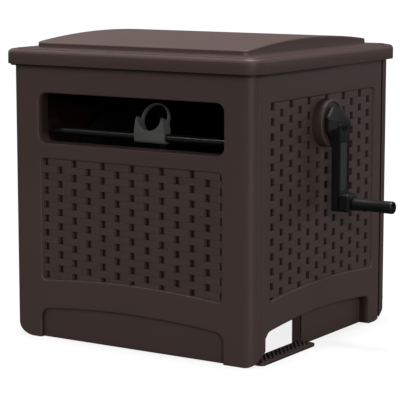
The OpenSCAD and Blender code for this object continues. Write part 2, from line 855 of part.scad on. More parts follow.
module right_bearing() color(nylon) placed() translate([0, 0, reel_z]) bush(1, gear_axle_d);
module left_bearing() color(nylon) placed() translate([0, 0, reel_z]) bush(-1, water_axle_d);
module crank_bush() color(nylon) placed() translate([0, 0, crank_z]) bush(1, shaft_d);

// Crank and its boss

module boss_screw_places() translate([half_w - pan_back, 0, crank_z]) for (a = [90, 210, 330])
  rotate([a, 0, 0]) translate([0, (spigot_d + boss_d) / 4, 0]) children();

module crank_boss() color(shell_colour) placed() difference() {
  translate([0, 0, crank_z]) difference() {
    union() {
      bar_x(half_w - field_depth, boss_face, boss_d);
      bar_x(half_w - pan_back - spigot_l, half_w, spigot_d);
    }
    bar_x(boss_face - boss_dish, boss_face + over, boss_d - 2 * boss_rim_w);
    bar_x(0, boss_face + over, shaft_d + 2 * running);
  }
  boss_screw_places() bar_x(0, screw_l, screw_d + 2 * running);
}

module boss_screws() color(steel) placed() boss_screw_places() {
  bar_x(-screw_head_t, 0, screw_head_d);
  bar_x(-screw_head_t, screw_l - screw_head_t, screw_d);
}

module crank_shaft() color(steel) placed() translate([0, 0, crank_z])
  bar_x(gear_x0, shaft_x1, shaft_d);

// A prism across the hub: wide at its base and narrow at its tip
module hub_prism() rotate([90, 0, 0]) linear_extrude(hub_w, center = true)
  polygon([[hub_x0, -hub_w / 2], [arm_x0, -hub_w / 2], [hub_x1, -hub_tip_w / 2],
    [hub_x1, hub_tip_w / 2], [arm_x0, hub_w / 2], [hub_x0, hub_w / 2]]);

// The eight-sided hub is where four such prisms meet
module crank_hub() intersection_for(a = [0, 45, 90, 135]) rotate([a, 0, 0]) hub_prism();

// A channel down the arm's face, with round lower corners
module arm_channel() along_x(arm_x1 - channel_t, arm_x1 + over)
  polygon(oblong(channel_w, -crank_r + block_above + channel_wall, -channel_top, channel_r, channel_top_r));

module crank_arm() color(black) placed() translate([0, 0, crank_z]) difference() {
  union() {
    crank_hub();
    difference() {
      block([arm_x0, -arm_w / 2, -crank_r - block_below], [arm_x1, arm_w / 2, 0]);
      arm_channel();
    }
    block([arm_x0, -arm_w / 2, -crank_r - block_below],
      [block_x1, arm_w / 2, -crank_r + block_above]);
  }
  bar_x(hub_x0 - over, shaft_x1 + running, shaft_d + 2 * running);
  translate([0, 0, -crank_r])
    bar_x(block_x1 - pin_root_l - running, block_x1 + over, grip_pin_d + 2 * running);
}

module grip_pin() color(steel) placed() translate([0, 0, crank_z - crank_r]) {
  bar_x(block_x1 - pin_root_l, grip_x1 - grip_recess + pin_head_t + play, grip_pin_d);
  bar_x(grip_x1 - grip_recess + play, grip_x1 - grip_recess + pin_head_t + play, pin_head_d);
}

// The grip's section: a waisted barrel with rounded ends and a recess for the pin's head
module crank_grip() color(black) placed() translate([grip_x0, 0, crank_z - crank_r])
  rotate([0, 90, 0]) difference() {
    rotate_extrude() polygon([[0, 0], [grip_d / 2 - grip_edge, 0], [grip_d / 2, grip_edge],
      [grip_d / 2 - grip_waist / 2, grip_l / 2], [grip_d / 2, grip_l - grip_edge],
      [grip_d / 2 - grip_edge / 2, grip_l], [0, grip_l]]);
    translate([0, 0, -over]) cylinder(h = grip_l + 2 * over, d = grip_pin_d + 2 * running);
    translate([0, 0, grip_l - grip_recess]) cylinder(h = grip_recess + over, d = pin_head_d + 2 * play);
  }

// Gears

function involute(a) = tan(a) * 180 / PI - a;
// Half the angle that a tooth spans at a radius
function tooth_half(r, teeth, pitch_r) =
  let (base = pitch_r * cos(pressure_angle), a = acos(min(1, base / r)))
  90 / teeth - backlash / 4 / pitch_r * 180 / PI + involute(pressure_angle) - involute(a);
flank_shares = [0, 0.3, 0.65, 1];
function tooth(teeth, pitch_r, mid) =
  let (root = pitch_r - root_share * gear_module, tip = pitch_r + tip_share * gear_module,
    foot = max(root, pitch_r * cos(pressure_angle)),
    flank = [for (s = flank_shares) let (r = foot + s * (tip - foot))
      [r, tooth_half(r, teeth, pitch_r)]],
    side = concat([[root, flank[0][1]]], flank),
    back = [for (i = [len(side) - 1 : -1 : 0]) side[i]])
  concat([for (p = side) p[0] * [cos(mid - p[1]), sin(mid - p[1])]],
    [for (p = back) p[0] * [cos(mid + p[1]), sin(mid + p[1])]]);

// A gear's outline with a tooth at the given angle
module gear_outline(teeth, pitch_r, start)
  polygon([for (i = [0 : teeth - 1], p = tooth(teeth, pitch_r, start + i * 360 / teeth)) p]);

// Turned up so that an outline's Y is the part's Z, and carried along X
module along_x(x0, x1) translate([x0, 0, 0]) rotate([90, 0, 90]) linear_extrude(x1 - x0) children();

gear_bolt_count = 6;
gear_bolt_d = 6;
gear_bolt_head_d = 11;
gear_bolt_head_t = 4;
// Room from the bolts' heads to the ring that the drum sits on
gear_bolt_gap = 5.5;
gear_bolt_r = drum_d / 2 - 2 * drum_wall - gear_bolt_head_d / 2 - gear_bolt_gap;
gear_pad_w = 8;
gear_hole_count = 9;
gear_hole_d = 34;
gear_hole_r = 78;

module around(count, r) for (i = [0 : count - 1])
  rotate([i * 360 / count, 0, 0]) translate([0, 0, r]) children();

module reel_gear() color(nylon) placed() translate([0, 0, reel_z]) difference() {
  union() {
    along_x(gear_x0, gear_x1) gear_outline(gear_teeth, gear_r, 90);
    bar_x(flange_r_out, gear_x1, 2 * gear_bolt_r + 2 * gear_pad_w);
  }
  bar_x(0, half_w, gear_axle_d + 2 * running);
  around(gear_hole_count, gear_hole_r) bar_x(gear_x0 - over, half_w, gear_hole_d);
  around(gear_bolt_count, gear_bolt_r) bar_x(0, half_w, gear_bolt_d + 2 * running);
}

module gear_bolts() color(steel) placed() translate([0, 0, reel_z])
  around(gear_bolt_count, gear_bolt_r) {
    bar_x(flange_r_in - gear_bolt_head_t, gear_x1, gear_bolt_d);
    bar_x(gear_x1, gear_x1 + gear_bolt_head_t, gear_bolt_head_d);
    bar_x(flange_r_in - gear_bolt_head_t, flange_r_in, gear_bolt_head_d);
  }

module drive_pinion() color(nylon) placed() translate([0, 0, crank_z]) difference() {
  along_x(gear_x0, gear_x1) gear_outline(pinion_teeth, pinion_r, -90 + 180 / pinion_teeth);
  bar_x(0, half_w, shaft_d + 2 * running);
}

// Reel

hub_ring_l = 8;

// A flange with a bead round its rim and a ring that the drum sits on
module reel_flange(side, axle_d) mirror([side > 0 ? 0 : 1, 0, 0]) difference() {
  union() {
    bar_x(0, reel_flange_t, reel_flange_d);
    difference() {
      bar_x(0, reel_flange_t + bead_h, reel_flange_d);
      bar_x(-over, reel_flange_t + bead_h + over, reel_flange_d - 2 * bead_w);
    }
    difference() {
      bar_x(-hub_ring_l, reel_flange_t, drum_d - 2 * drum_wall - 2 * running);
      bar_x(-hub_ring_l - over, 0, drum_d - 4 * drum_wall);
    }
  }
  bar_x(-over, reel_flange_t + over, axle_d + 2 * running);
}

module right_flange() color(black) placed() translate([flange_r_in, 0, reel_z]) difference() {
  reel_flange(1, gear_axle_d);
  around(gear_bolt_count, gear_bolt_r)
    bar_x(-over, reel_flange_t + over, gear_bolt_d + 2 * running);
}

module left_flange() color(black) placed() translate([flange_l_in, 0, reel_z])
  reel_flange(-1, water_axle_d);

module drum() color(black) placed() translate([0, 0, reel_z]) difference() {
  bar_x(flange_l_in, flange_r_in, drum_d);
  bar_x(flange_l_in - over, flange_r_in + over, drum_d - 2 * drum_wall);
  to_outlet() cylinder(h = drum_d, d = thread_d + 2 * fit);
}

// From the reel's middle to the outlet, which points down when the reel is at rest
module to_outlet() translate([outlet_x, 0, 0]) rotate([180, 0, 0]) children();

// The crank side's axle: shouldered against the inside of the flange, with a collar at the gear
module gear_axle() color(steel) placed() translate([0, 0, reel_z]) {
  bar_x(flange_r_in - axle_tail / 2, bracket_out + over, gear_axle_d);
  bar_x(flange_r_in - axle_flange_t, flange_r_in, gear_axle_d + 2 * bush_flange_w);
  bar_x(gear_x1, bracket_in - bush_flange_t - play, gear_axle_d + 2 * bush_flange_w);
}

// The hollow axle: water comes in along it and leaves through a side branch
module water_axle() color(black) placed() translate([0, 0, reel_z]) difference() {
  union() {
    bar_x(axle_end, outlet_x + axle_tail / 2, water_axle_d);
    bar_x(flange_l_in, flange_l_in + axle_flange_t, axle_flange_d);
    to_outlet() cylinder(h = tee_l, r = tee_r);
  }
  bar_x(axle_end - over, outlet_x + water_bore_d / 2, swivel_d);
  to_outlet() {
    cylinder(h = drum_d, d = water_bore_d);
    translate([0, 0, tee_l - outlet_root]) cylinder(h = drum_d, d = outlet_root_d + 2 * running);
  }
}

// Nipple that the garden hose is screwed to, standing out of the drum
module hose_outlet() color(nylon) placed() translate([0, 0, reel_z]) to_outlet()
  difference() {
    union() {
      translate([0, 0, tee_l - outlet_root])
        cylinder(h = drum_d / 2 - tee_l + outlet_root + thread_l, d = outlet_root_d);
      translate([0, 0, drum_d / 2 + outlet_proud]) cylinder(h = thread_l, d = thread_d);
    }
    cylinder(h = drum_d, d = water_bore_d);
  }

module cup_screw_places() translate([0, 0, reel_z])
  around(cup_screw_count, cup_d / 2 + cup_flange_w / 2) children();

// Swivel housing on the left bracket: its spigot turns in the hollow axle, and its leg points down
module inlet_swivel() color(black) placed() difference() {
  translate([0, 0, reel_z]) difference() {
    union() {
      difference() {
        union() {
          bar_x(cup_back, -bracket_out, cup_d);
          bar_x(-bracket_out - cup_flange_t, -bracket_out, cup_d + 2 * cup_flange_w);
          translate([leg_x, 0, -leg_l - thread_l]) cylinder(h = thread_l, d = thread_d);
          difference() {
            translate([leg_x, 0, -leg_l]) cylinder(h = leg_l, d = leg_d);
            block([-bracket_out, -leg_d, -cup_d / 2 - leg_neck], [0, leg_d, leg_d]);
          }
        }
        bar_x(cup_floor, -bracket_out + over, cup_d - 2 * cup_wall);
      }
      bar_x(cup_back + end_wall, axle_end + spigot_in, swivel_d - 2 * running);
    }
    bar_x(cup_back + end_wall, half_w, spigot_bore_d);
    translate([leg_x, 0, -leg_l - thread_l - over])
      cylinder(h = leg_l + thread_l + over, d = spigot_bore_d);
    seal_places() rotate([0, 90, 0]) difference() {
      cylinder(h = ring_d + 2 * running, d = swivel_d + over, center = true);
      cylinder(h = ring_d + over, d = swivel_d - 2 * ring_d - 4 * running, center = true);
    }
  }
  cup_screw_places() bar_x(-half_w, 0, screw_d + 2 * running);
}

module swivel_screws() color(steel) placed() cup_screw_places() {
  bar_x(-bracket_out - cup_flange_t - screw_head_t, -bracket_out - cup_flange_t, screw_head_d);
  bar_x(-bracket_out - cup_flange_t - screw_head_t, -bracket_in, screw_d);
}

module seal_places() for (i = [1, 2]) translate([axle_end + i * ring_gap, 0, 0]) children();

module swivel_seals() color(rubber) placed() translate([0, 0, reel_z]) seal_places()
  rotate([0, 90, 0]) rotate_extrude() translate([swivel_d / 2 - ring_d / 2 - running, 0])
    circle(d = ring_d, $fn = 24);

// Hose guide

module guide_rod() color(black) placed() translate([0, rod_y, rod_z])
  bar_x(-socket_x0 - socket_deep + play, socket_x0 + socket_deep - play, rod_d);

module rod_socket(side) mirror([side > 0 ? 0 : 1, 0, 0]) difference() {
  block([socket_x0, -half_d + skin, rod_z - socket_h / 2],
    [socket_x0 + socket_l, rod_y + socket_back, rod_z + socket_h / 2]);
  translate([0, rod_y, rod_z]) bar_x(socket_x0 - over, socket_x0 + socket_deep, rod_d + 2 * running);
}

module right_rod_socket() color(shell_colour) placed() rod_socket(1);
module left_rod_socket() color(shell_colour) placed() rod_socket(-1);

// The saddle's outlines from the side and from the front
module saddle() intersection() {
  along_x(-guide_w / 2, guide_w / 2) polygon(oblong(saddle_d, -saddle_d / 2, horn_z, saddle_r, horn_r));
  rotate([90, 0, 0]) linear_extrude(2 * saddle_d, center = true)
    polygon([[-guide_w / 2, -saddle_d], [guide_w / 2, -saddle_d], [guide_w / 2 - horn_draw, horn_z + over],
      [-guide_w / 2 + horn_draw, horn_z + over]]);
}

// From the rod's axis to the leaning eye
module to_eye() rotate([-eye_lean, 0, 0]) translate([0, 0, eye_rise]) rotate([90, 0, 0]) children();

// A saddle on the rod with a horn at each side, and the leaning eye's ring that stands out of it
module hose_guide() color(grey) placed() translate([guide_rest_x, rod_y, rod_z]) difference() {
  union() {
    saddle();
    to_eye() cylinder(h = eye_l, d = eye_d + 2 * eye_wall, center = true);
  }
  to_eye() cylinder(h = guide_w + saddle_d, d = eye_d, center = true);
  bar_x(-guide_w, guide_w, rod_d + 2 * running);
}

// Foot plate

module foot_plate() color(shell_colour) placed() {
  translate([(plate_x0 + plate_x1) / 2, 0, 0]) {
    linear_extrude(plate_t) polygon(oblong(plate_w, plate_y0, plate_y0 + plate_l, plate_r, plate_r));
    for (i = [0 : stud_rows - 1], j = [0 : stud_columns - 1])
      translate([(i - (stud_rows - 1) / 2) * plate_w / (stud_rows + 1),
        plate_y0 + (j + 1) * plate_l / (stud_columns + 1), 0]) cylinder(h = plate_t + stud_h, d = stud_d);
  }
  translate([half_w - side_arch_depth - skin, cutout_y0 - skin - tab_t, 0])
    cube([tab_w, tab_t, plate_t + tab_h]);
}

front_wall();
right_wall();
left_wall();
back_wall();
front_weave();
right_weave();
left_weave();
lid();
hinge_pins();
wall_screws();
right_bracket();
left_bracket();
bracket_screws();
right_bearing();
left_bearing();
crank_bush();
crank_boss();
boss_screws();
crank_shaft();
drive_pinion();
crank_arm();
grip_pin();
crank_grip();
reel_gear();
gear_bolts();
gear_axle();
right_flange();
left_flange();
drum();
water_axle();
hose_outlet();
inlet_swivel();
swivel_screws();
swivel_seals();
guide_rod();
right_rod_socket();
left_rod_socket();
hose_guide();
foot_plate();
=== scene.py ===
"""Looks of the hose reel box: moulded walls with woven fields, a crowned lid, a crank and a hose guide.

Sizes are in metres. Pieces are drawn in the box's own frame, with its origin in the middle of the
walls' plan at the floor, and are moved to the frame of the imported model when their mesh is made.
"""

import json
from collections import namedtuple
from math import cos, pi, radians, sin

import bmesh
import bpy
import numpy as np
from bpy.props import FloatProperty, FloatVectorProperty, PointerProperty
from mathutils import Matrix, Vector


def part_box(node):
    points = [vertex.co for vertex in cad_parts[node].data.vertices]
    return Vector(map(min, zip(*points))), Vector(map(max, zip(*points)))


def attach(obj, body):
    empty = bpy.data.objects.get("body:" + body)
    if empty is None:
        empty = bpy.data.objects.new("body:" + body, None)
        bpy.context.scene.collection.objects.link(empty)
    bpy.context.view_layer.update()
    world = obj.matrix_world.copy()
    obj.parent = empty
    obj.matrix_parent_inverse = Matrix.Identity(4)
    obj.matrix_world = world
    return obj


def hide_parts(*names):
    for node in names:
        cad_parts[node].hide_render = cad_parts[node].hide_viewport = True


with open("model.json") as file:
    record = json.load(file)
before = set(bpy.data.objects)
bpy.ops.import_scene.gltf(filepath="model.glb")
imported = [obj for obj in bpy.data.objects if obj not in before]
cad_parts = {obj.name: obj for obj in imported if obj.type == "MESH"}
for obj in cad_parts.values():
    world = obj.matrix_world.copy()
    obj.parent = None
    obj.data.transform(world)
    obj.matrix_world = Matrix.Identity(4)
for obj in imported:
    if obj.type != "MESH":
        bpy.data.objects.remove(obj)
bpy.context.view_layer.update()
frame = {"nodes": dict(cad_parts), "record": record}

bl_info = {
    "name": "Hose Reel Box",
    "version": (1, 0, 0),
    "blender": (4, 5, 0),
    "location": "3D View > Sidebar > Reel Box",
    "description": "Builds the looks of a woven hose reel box over its packed frame",
    "category": "Object",
}

FRONT_LOW, FRONT_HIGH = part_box("front_wall")
HALF_W = (FRONT_HIGH.x - FRONT_LOW.x) / 2
WALL_TOP = FRONT_HIGH.z
X, Y, UP = np.eye(3)
# Points taken along each side of an outline, and the share of a side that each corner takes
SIDE_STEPS = 26
CORNER_SHARE = 0.15
# Height over which a rounded foot is taken up
FOOT_BAND = 0.060
# Chamfer of small edges
SOFT = 0.0006
# Distances under which points are merged, and under which an edge counts as none
MERGE, NO_EDGE = 2e-5, 1e-6


def number(name, description, default):
    return FloatProperty(name=name, description=description, default=default)


def angle(name, description, degrees):
    return FloatProperty(name=name, description=description, default=radians(degrees), subtype="ANGLE")


def length(name, description, default):
    return FloatProperty(name=name, description=description, default=default, unit="LENGTH", precision=4)


def colour(name, description, default):
    return FloatVectorProperty(
        name=name, description=description, default=default, subtype="COLOR", size=3, min=0, max=1
    )


class WallSizes(bpy.types.PropertyGroup):
    depth: length("Depth", "Distance between the front and back faces", 0.502)
    skin: length("Skin", "Thickness of the moulded walls", 0.0032)
    front_corner: length("Front corner", "Radius of the upright front corners", 0.019)
    back_corner: length("Back corner", "Radius of the upright back corners", 0.010)
    front_return: length("Front return", "How far the front wall turns onto the sides", 0.026)
    back_return: length("Back return", "How far the back wall turns onto the sides", 0.025)
    seam: length("Seam", "Joint between two walls", 0.0003)
    seam_round: length("Seam round", "Rounding of the walls' edges along a joint", 0.0005)
    groove: length("Groove", "Width of the groove along the back joints", 0.0055)
    groove_depth: length("Groove depth", "Depth of the groove along the back joints", 0.009)
    foot_round: length("Foot round", "Radius of the lower corners", 0.044)
    foot_lift: length("Foot lift", "Height to which the crank side's front foot slants up", 0.024)
    lip: length("Lip", "Rounding of the edge of each opening", 0.003)
    ledge: length("Ledge", "Width of the ledge along the side walls' top", 0.024)
    flange: length("Flange", "Width of the inner flanges", 0.022)


class OpeningSizes(bpy.types.PropertyGroup):
    window_half: length("Window half width", "Half the width of the hose window", 0.2025)
    window_low: length("Window low", "Lower edge of the hose window", 0.369)
    window_high: length("Window high", "Upper edge of the hose window", 0.461)
    window_round: length("Window corner", "Corner radius of the hose window", 0.016)
    window_reveal: length("Window reveal", "Depth of the hose window's frame", 0.028)
    field_low: length("Field low", "Lower corners of the woven fields", 0.110)
    field_rise: length("Field rise", "Rise of a field's lower edge", 0.0105)
    field_round: length("Field corner", "Corner radius of the fields", 0.008)
    field_depth: length("Field depth", "Depth of the fields' floor", 0.012)
    front_field_half: length("Front field half width", "Half the front field's width", 0.1975)
    front_field_high: length("Front field high", "Upper edge of the front field", 0.3395)
    side_field_half: length("Side field half width", "Half the side fields' width", 0.1955)
    side_field_high: length("Side field high", "Upper edge of the side fields", 0.460)
    front_arch_half: length("Front arch half width", "Half the front arch's width", 0.2015)
    side_arch_half: length("Side arch half width", "Half the side arches' width", 0.1955)
    side_arch_shift: length("Side arch shift", "Offset of the side arches along the depth", -0.010)
    arch_end: length("Arch end", "Height of an arch at its ends", 0.054)
    arch_rise: length("Arch rise", "Rise of an arch at the middle", 0.0115)
    arch_round: length("Arch corner", "Corner radius of an arch", 0.016)
    front_arch_depth: length("Front arch depth", "Depth of the front, left and back arches", 0.009)
    side_arch_depth: length("Crank side arch depth", "Depth of the crank side's arch", 0.021)
    way_out: length("Way out", "Width of the leader hose's way out", 0.162)
    way_edge: length("Way out edge", "Depth of the wall that edges the way out", 0.020)


class WeaveSizes(bpy.types.PropertyGroup):
    stake_pitch: length("Stake pitch", "Distance between two upright stakes", 0.0323)
    strand_pitch: length("Strand pitch", "Height of one woven strand", 0.01325)
    front_shift: length("Front shift", "Shift of the front's stakes to the crank side", 0.021)
    side_shift: length("Side shift", "Shift of the crank side's stakes to the back", 0.0284)
    pocket: length("Pocket", "Width of the gap in which a stake shows", 0.0102)
    stake: length("Stake", "Width of a stake", 0.005)
    stake_rise: length("Stake rise", "Height of a stake over the base", 0.0016)
    end_rise: length("End rise", "Height of a strand's ends over the base", 0.0068)
    crest_rise: length("Crest rise", "Height of a strand's crest over the base", 0.0075)
    base: length("Base", "Thickness of the woven panel's base", 0.002)
    margin: length("Margin", "Gap between the panel and its field", 0.0003)


class LidSizes(bpy.types.PropertyGroup):
    corner: length("Corner", "Radius of the lid's corners in plan", 0.033)
    edge: length("Edge", "Rounding of the lid's outer upper edge", 0.008)
    step_inset: length("Step inset", "Distance from the lid's edge to its raised ledge", 0.010)
    step_rise: length("Step rise", "Height of the raised ledge over the lid's outer edge", 0.004)
    # The skirt is a dark sheet under the lip: a painted shadow that draws the lip's shadow line
    skirt: length("Skirt", "Depth of the dark skirt under the lid's lip", 0.0028)
    skirt_inset: length("Skirt inset", "Distance from the lid's edge to its skirt", 0.0042)
    lip_low: length("Lip low", "Height of the lid's lower edge", 0.513)
    ledge: length("Ledge", "Height of the lid's ledge", 0.5415)
    crown_inset: length("Crown inset", "Distance from the lid's edge to its crown", 0.045)
    crown_edge: length("Crown edge", "Height of the crown's front and back edges", 0.551)
    crown: length("Crown", "Height of the crown's crest", 0.565)
    hinge_behind: length("Hinge", "Distance from the back face to the hinge axis", 0.008)
    hinge_height: length("Hinge height", "Height of the hinge axis", 0.505)
    hinge_half_span: length("Hinge half span", "Half the distance between the hinges", 0.170)
    lug: length("Lug", "Width of the lid's knuckle", 0.030)
    ear: length("Ear", "Width of each ear on the back wall", 0.012)
    knuckle: length("Knuckle", "Diameter of a hinge knuckle", 0.014)


class CrankSizes(bpy.types.PropertyGroup):
    height: length("Height", "Height of the crank's axis", 0.410)
    reach: length("Reach", "Distance from the crank's axis to the grip's", 0.146)
    boss_round: length("Boss edge", "Rounding of the boss's rim", 0.0012)
    boss_rim: length("Boss rim", "Width of the boss's rim", 0.006)
    boss_dish: length("Boss dish", "Depth of the boss's dish", 0.003)
    hub_half: length("Hub half width", "Half the width across the hub's base", 0.030)
    hub_tip: length("Hub tip", "Half the width across the hub's tip", 0.007)
    hub_base: length("Hub base", "Length of the hub's straight base", 0.006)
    hub_length: length("Hub length", "Length of the hub with its base", 0.032)
    arm_half: length("Arm half width", "Half the arm's width", 0.0185)
    arm_thick: length("Arm", "Thickness of the arm", 0.018)
    channel_half: length("Channel half width", "Half the width of the arm's channel", 0.0145)
    channel_depth: length("Channel", "Depth of the arm's channel", 0.003)
    grip_waist: length("Grip waist", "Depth of the grip's waist", 0.001)
    # The arm outside its channel is drawn down to black by painted shade, beside the channel's painted sheen
    outer_painted_shade: number("Outer tone", "How much darker the arm is outside its channel", 0.97)


class GuideSizes(bpy.types.PropertyGroup):
    eye: length("Eye", "Radius of the guide's eye", 0.0262)
    eye_wall: length("Eye wall", "Wall of the guide's eye", 0.0032)
    eye_length: length("Eye length", "Length of the guide's eye", 0.009)
    eye_rise: length("Eye rise", "Distance from the rod's axis to the eye's middle", 0.034)
    lean: angle("Lean", "Lean of the eye towards the back", 20)
    saddle_half: length("Saddle half width", "Half the saddle's width along the rod", 0.033)
    saddle_depth: length("Saddle depth", "Depth of the saddle across the rod", 0.022)
    saddle_round: length("Saddle corner", "Radius of the saddle's lower edges", 0.006)
    horn_draw: length("Horn draw", "How far the horns draw in towards their tips", 0.0035)


class PlateSizes(bpy.types.PropertyGroup):
    half: length("Half width", "Half the foot plate's width", 0.019)
    thick: length("Thickness", "Thickness of the foot plate", 0.006)
    edge: length("Edge", "Rounding of the plate's upper edge", 0.0022)
    corner: length("Corner", "Radius of the plate's corners", 0.008)


class Finishes(bpy.types.PropertyGroup):
    resin: colour("Resin", "Moulded walls and lid", (0.094, 0.0585, 0.0525))
    # The plate's tint is the resin darkened: painted shade, as the plate lies under the box
    plate: colour("Plate resin", "Foot plate", (0.045, 0.028, 0.025))
    woven: colour("Woven resin", "Strands of the woven fields", (0.092, 0.057, 0.051))
    black: colour("Black plastic", "Grip, reel and brackets", (0.007, 0.007, 0.0073))
    # The channel's lighter grey on the black arm is a painted sheen
    channel: colour("Channel", "Floor of the crank arm's channel", (0.060, 0.060, 0.061))
    grey: colour("Grey plastic", "Hose guide", (0.13, 0.128, 0.124))
    nylon: colour("Nylon", "Gears and bushes", (0.50, 0.47, 0.40))
    steel: colour("Steel", "Pins, axles and screws", (0.52, 0.52, 0.53))
    rubber: colour("Rubber", "Seal rings", (0.014, 0.014, 0.014))


class StageSettings(bpy.types.PropertyGroup):
    camera: FloatVectorProperty(
        name="Camera", description="Place of the camera in the box's frame",
        default=(1.7789, -2.7596, 0.7407), subtype="XYZ", unit="LENGTH",
    )
    turn: angle("Turn", "Camera's turn to the crank side", 32.929)
    pitch: angle("Pitch", "Camera's tilt downwards", 8.583)
    lens: number("Lens", "Focal length in millimetres on a 36 mm frame", 155.5)
    air: number("Air", "Strength of the light from all round", 0.15)
    floor: colour("Floor", "Colour of the floor", (0.93, 0.93, 0.93))
    bounce: colour("Bounce", "Colour of the floor to all but the camera's rays", (0.10, 0.10, 0.10))
    glow: number("Glow", "Share of the floor's own light", 0.85)


# Lamps: strength, width of the soft source, turn to the crank side and height over the horizon in degrees
LAMPS = {
    "overhead": (3.6, 12, 0, 90),
    "fill": (0.95, 22, 46, 15),
    "rim": (0.2, 40, 145, 10),
    "side": (0.2, 6, -35, 35),
    "back": (0.45, 40, -115, 20),
}
for lamp, (strength, width, turn, height) in LAMPS.items():
    title = lamp.capitalize()
    StageSettings.__annotations__.update({
        lamp: number(title, f"Strength of the {lamp} light", strength),
        f"{lamp}_width": angle(f"{title} width", f"Width of the soft {lamp} light", width),
        f"{lamp}_turn": angle(f"{title} turn", f"Turn of the {lamp} light to the crank side", turn),
        f"{lamp}_height": angle(f"{title} height", f"Height of the {lamp} light over the horizon", height),
    })


class ReelBoxSettings(bpy.types.PropertyGroup):
    walls: PointerProperty(type=WallSizes)
    openings: PointerProperty(type=OpeningSizes)
    weave: PointerProperty(type=WeaveSizes)
    lid: PointerProperty(type=LidSizes)
    crank: PointerProperty(type=CrankSizes)
    guide: PointerProperty(type=GuideSizes)
    plate: PointerProperty(type=PlateSizes)
    finishes: PointerProperty(type=Finishes)
    stage: PointerProperty(type=StageSettings)


def settings():
    return bpy.context.scene.reel_box


def box_origin():
    """The box frame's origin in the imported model's frame."""
    return np.array([(FRONT_LOW.x + FRONT_HIGH.x) / 2, FRONT_LOW.y + settings().walls.depth / 2, 0.0])


def solid(node):
    """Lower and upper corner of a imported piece, in the box's frame."""
    return [np.array(corner) - box_origin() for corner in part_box(node)]


def linked(name, data):
    """A new object in the scene."""
    made = bpy.data.objects.new(name, data)
    bpy.context.scene.collection.objects.link(made)
    return made


# Surfaces


def quarter_round(radius, steps):
    """A rounded edge, foot first: how far each point is set in, and how far it lies under the top."""
    a = np.linspace(0, pi / 2, steps)
    return radius * (1 - np.cos(a)), radius * (1 - np.sin(a))


def points(x, y, z):
    """Points from their coordinates, which may be of any shapes that match."""
    return np.stack(np.broadcast_arrays(x, y, z), -1)


def raised(plan, z):
    """Points of a plan, each at its height."""
    return points(plan[..., 0], plan[..., 1], z)


def upright(loops, x):
    """Outlines in the upright plane across X, each at its own X."""
    return points(np.reshape(x, (-1, 1)), loops[..., 0], loops[..., 1])


def off_axis(p, centre, axis):
    """Each point's offset from an axis."""
    d = p - centre
    return d - (d @ axis)[:, None] * axis


def side_run(share):
    """How far along the straight part of an outline's side a share of the side is, from 0 to 1."""
    return np.clip((share - CORNER_SHARE) / (1 - 2 * CORNER_SHARE), 0, 1)


# Shares of an edge at which neighbouring grids meet
EDGE_RUN = np.unique(side_run(np.arange(SIDE_STEPS + 1) / SIDE_STEPS))


def outline(half, low, high, radius, low_radius=None, mid=0.0, low_rise=0.0, high_rise=0.0):
    """An oblong's outline, counter-clockwise from its lower left corner, as an array of (u, v) points.

    Each side runs from the middle of one corner's arc to the middle of the next. Half width, low and
    high edges and radii may be columns, which gives one outline a row. A rise bends the lower or the
    upper edge up by rise * (1 - (u / half) ** 2).
    """
    half, low, high, radius = (np.reshape(a, (-1, 1)) for a in (half, low, high, radius))
    low_radius = radius if low_radius is None else np.reshape(low_radius, (-1, 1))
    f = np.arange(SIDE_STEPS) / SIDE_STEPS
    run = side_run(f)
    bend = pi / 4 * (np.clip(f / CORNER_SHARE, 0, 1) - 1 + np.clip((f - 1) / CORNER_SHARE + 1, 0, 1))
    lower, upper = (half - low_radius, low + low_radius, low_radius), (half - radius, high - radius, radius)
    ends = [(-lower[0], *lower[1:]), lower, upper, (-upper[0], *upper[1:])]
    us, vs = [], []
    for side, ((u0, v0, r0), (u1, v1, r1)) in enumerate(zip(ends, ends[1:] + ends[:1])):
        facing = bend + (side - 1) * pi / 2
        r = r0 + run * (r1 - r0)
        us.append(u0 + run * (u1 - u0) + r * np.cos(facing))
        vs.append(v0 + run * (v1 - v0) + r * np.sin(facing))
    u, v = np.concatenate(us, 1), np.concatenate(vs, 1)
    rise = np.where(v < (low + high) / 2, low_rise, high_rise)
    return np.stack([u + mid, v + rise * (1 - np.clip(u / half, -1, 1) ** 2)], -1)


def lip_section(radius, depth, draft=0.03, steps=7):
    """Section of an opening's edge as (outwards, inwards): up its side, then a quarter round."""
    side = np.linspace(depth, radius, 3)[:-1]
    inset, drop = quarter_round(radius, steps)
    return np.append(-draft * (side - radius), inset), np.append(side, drop)


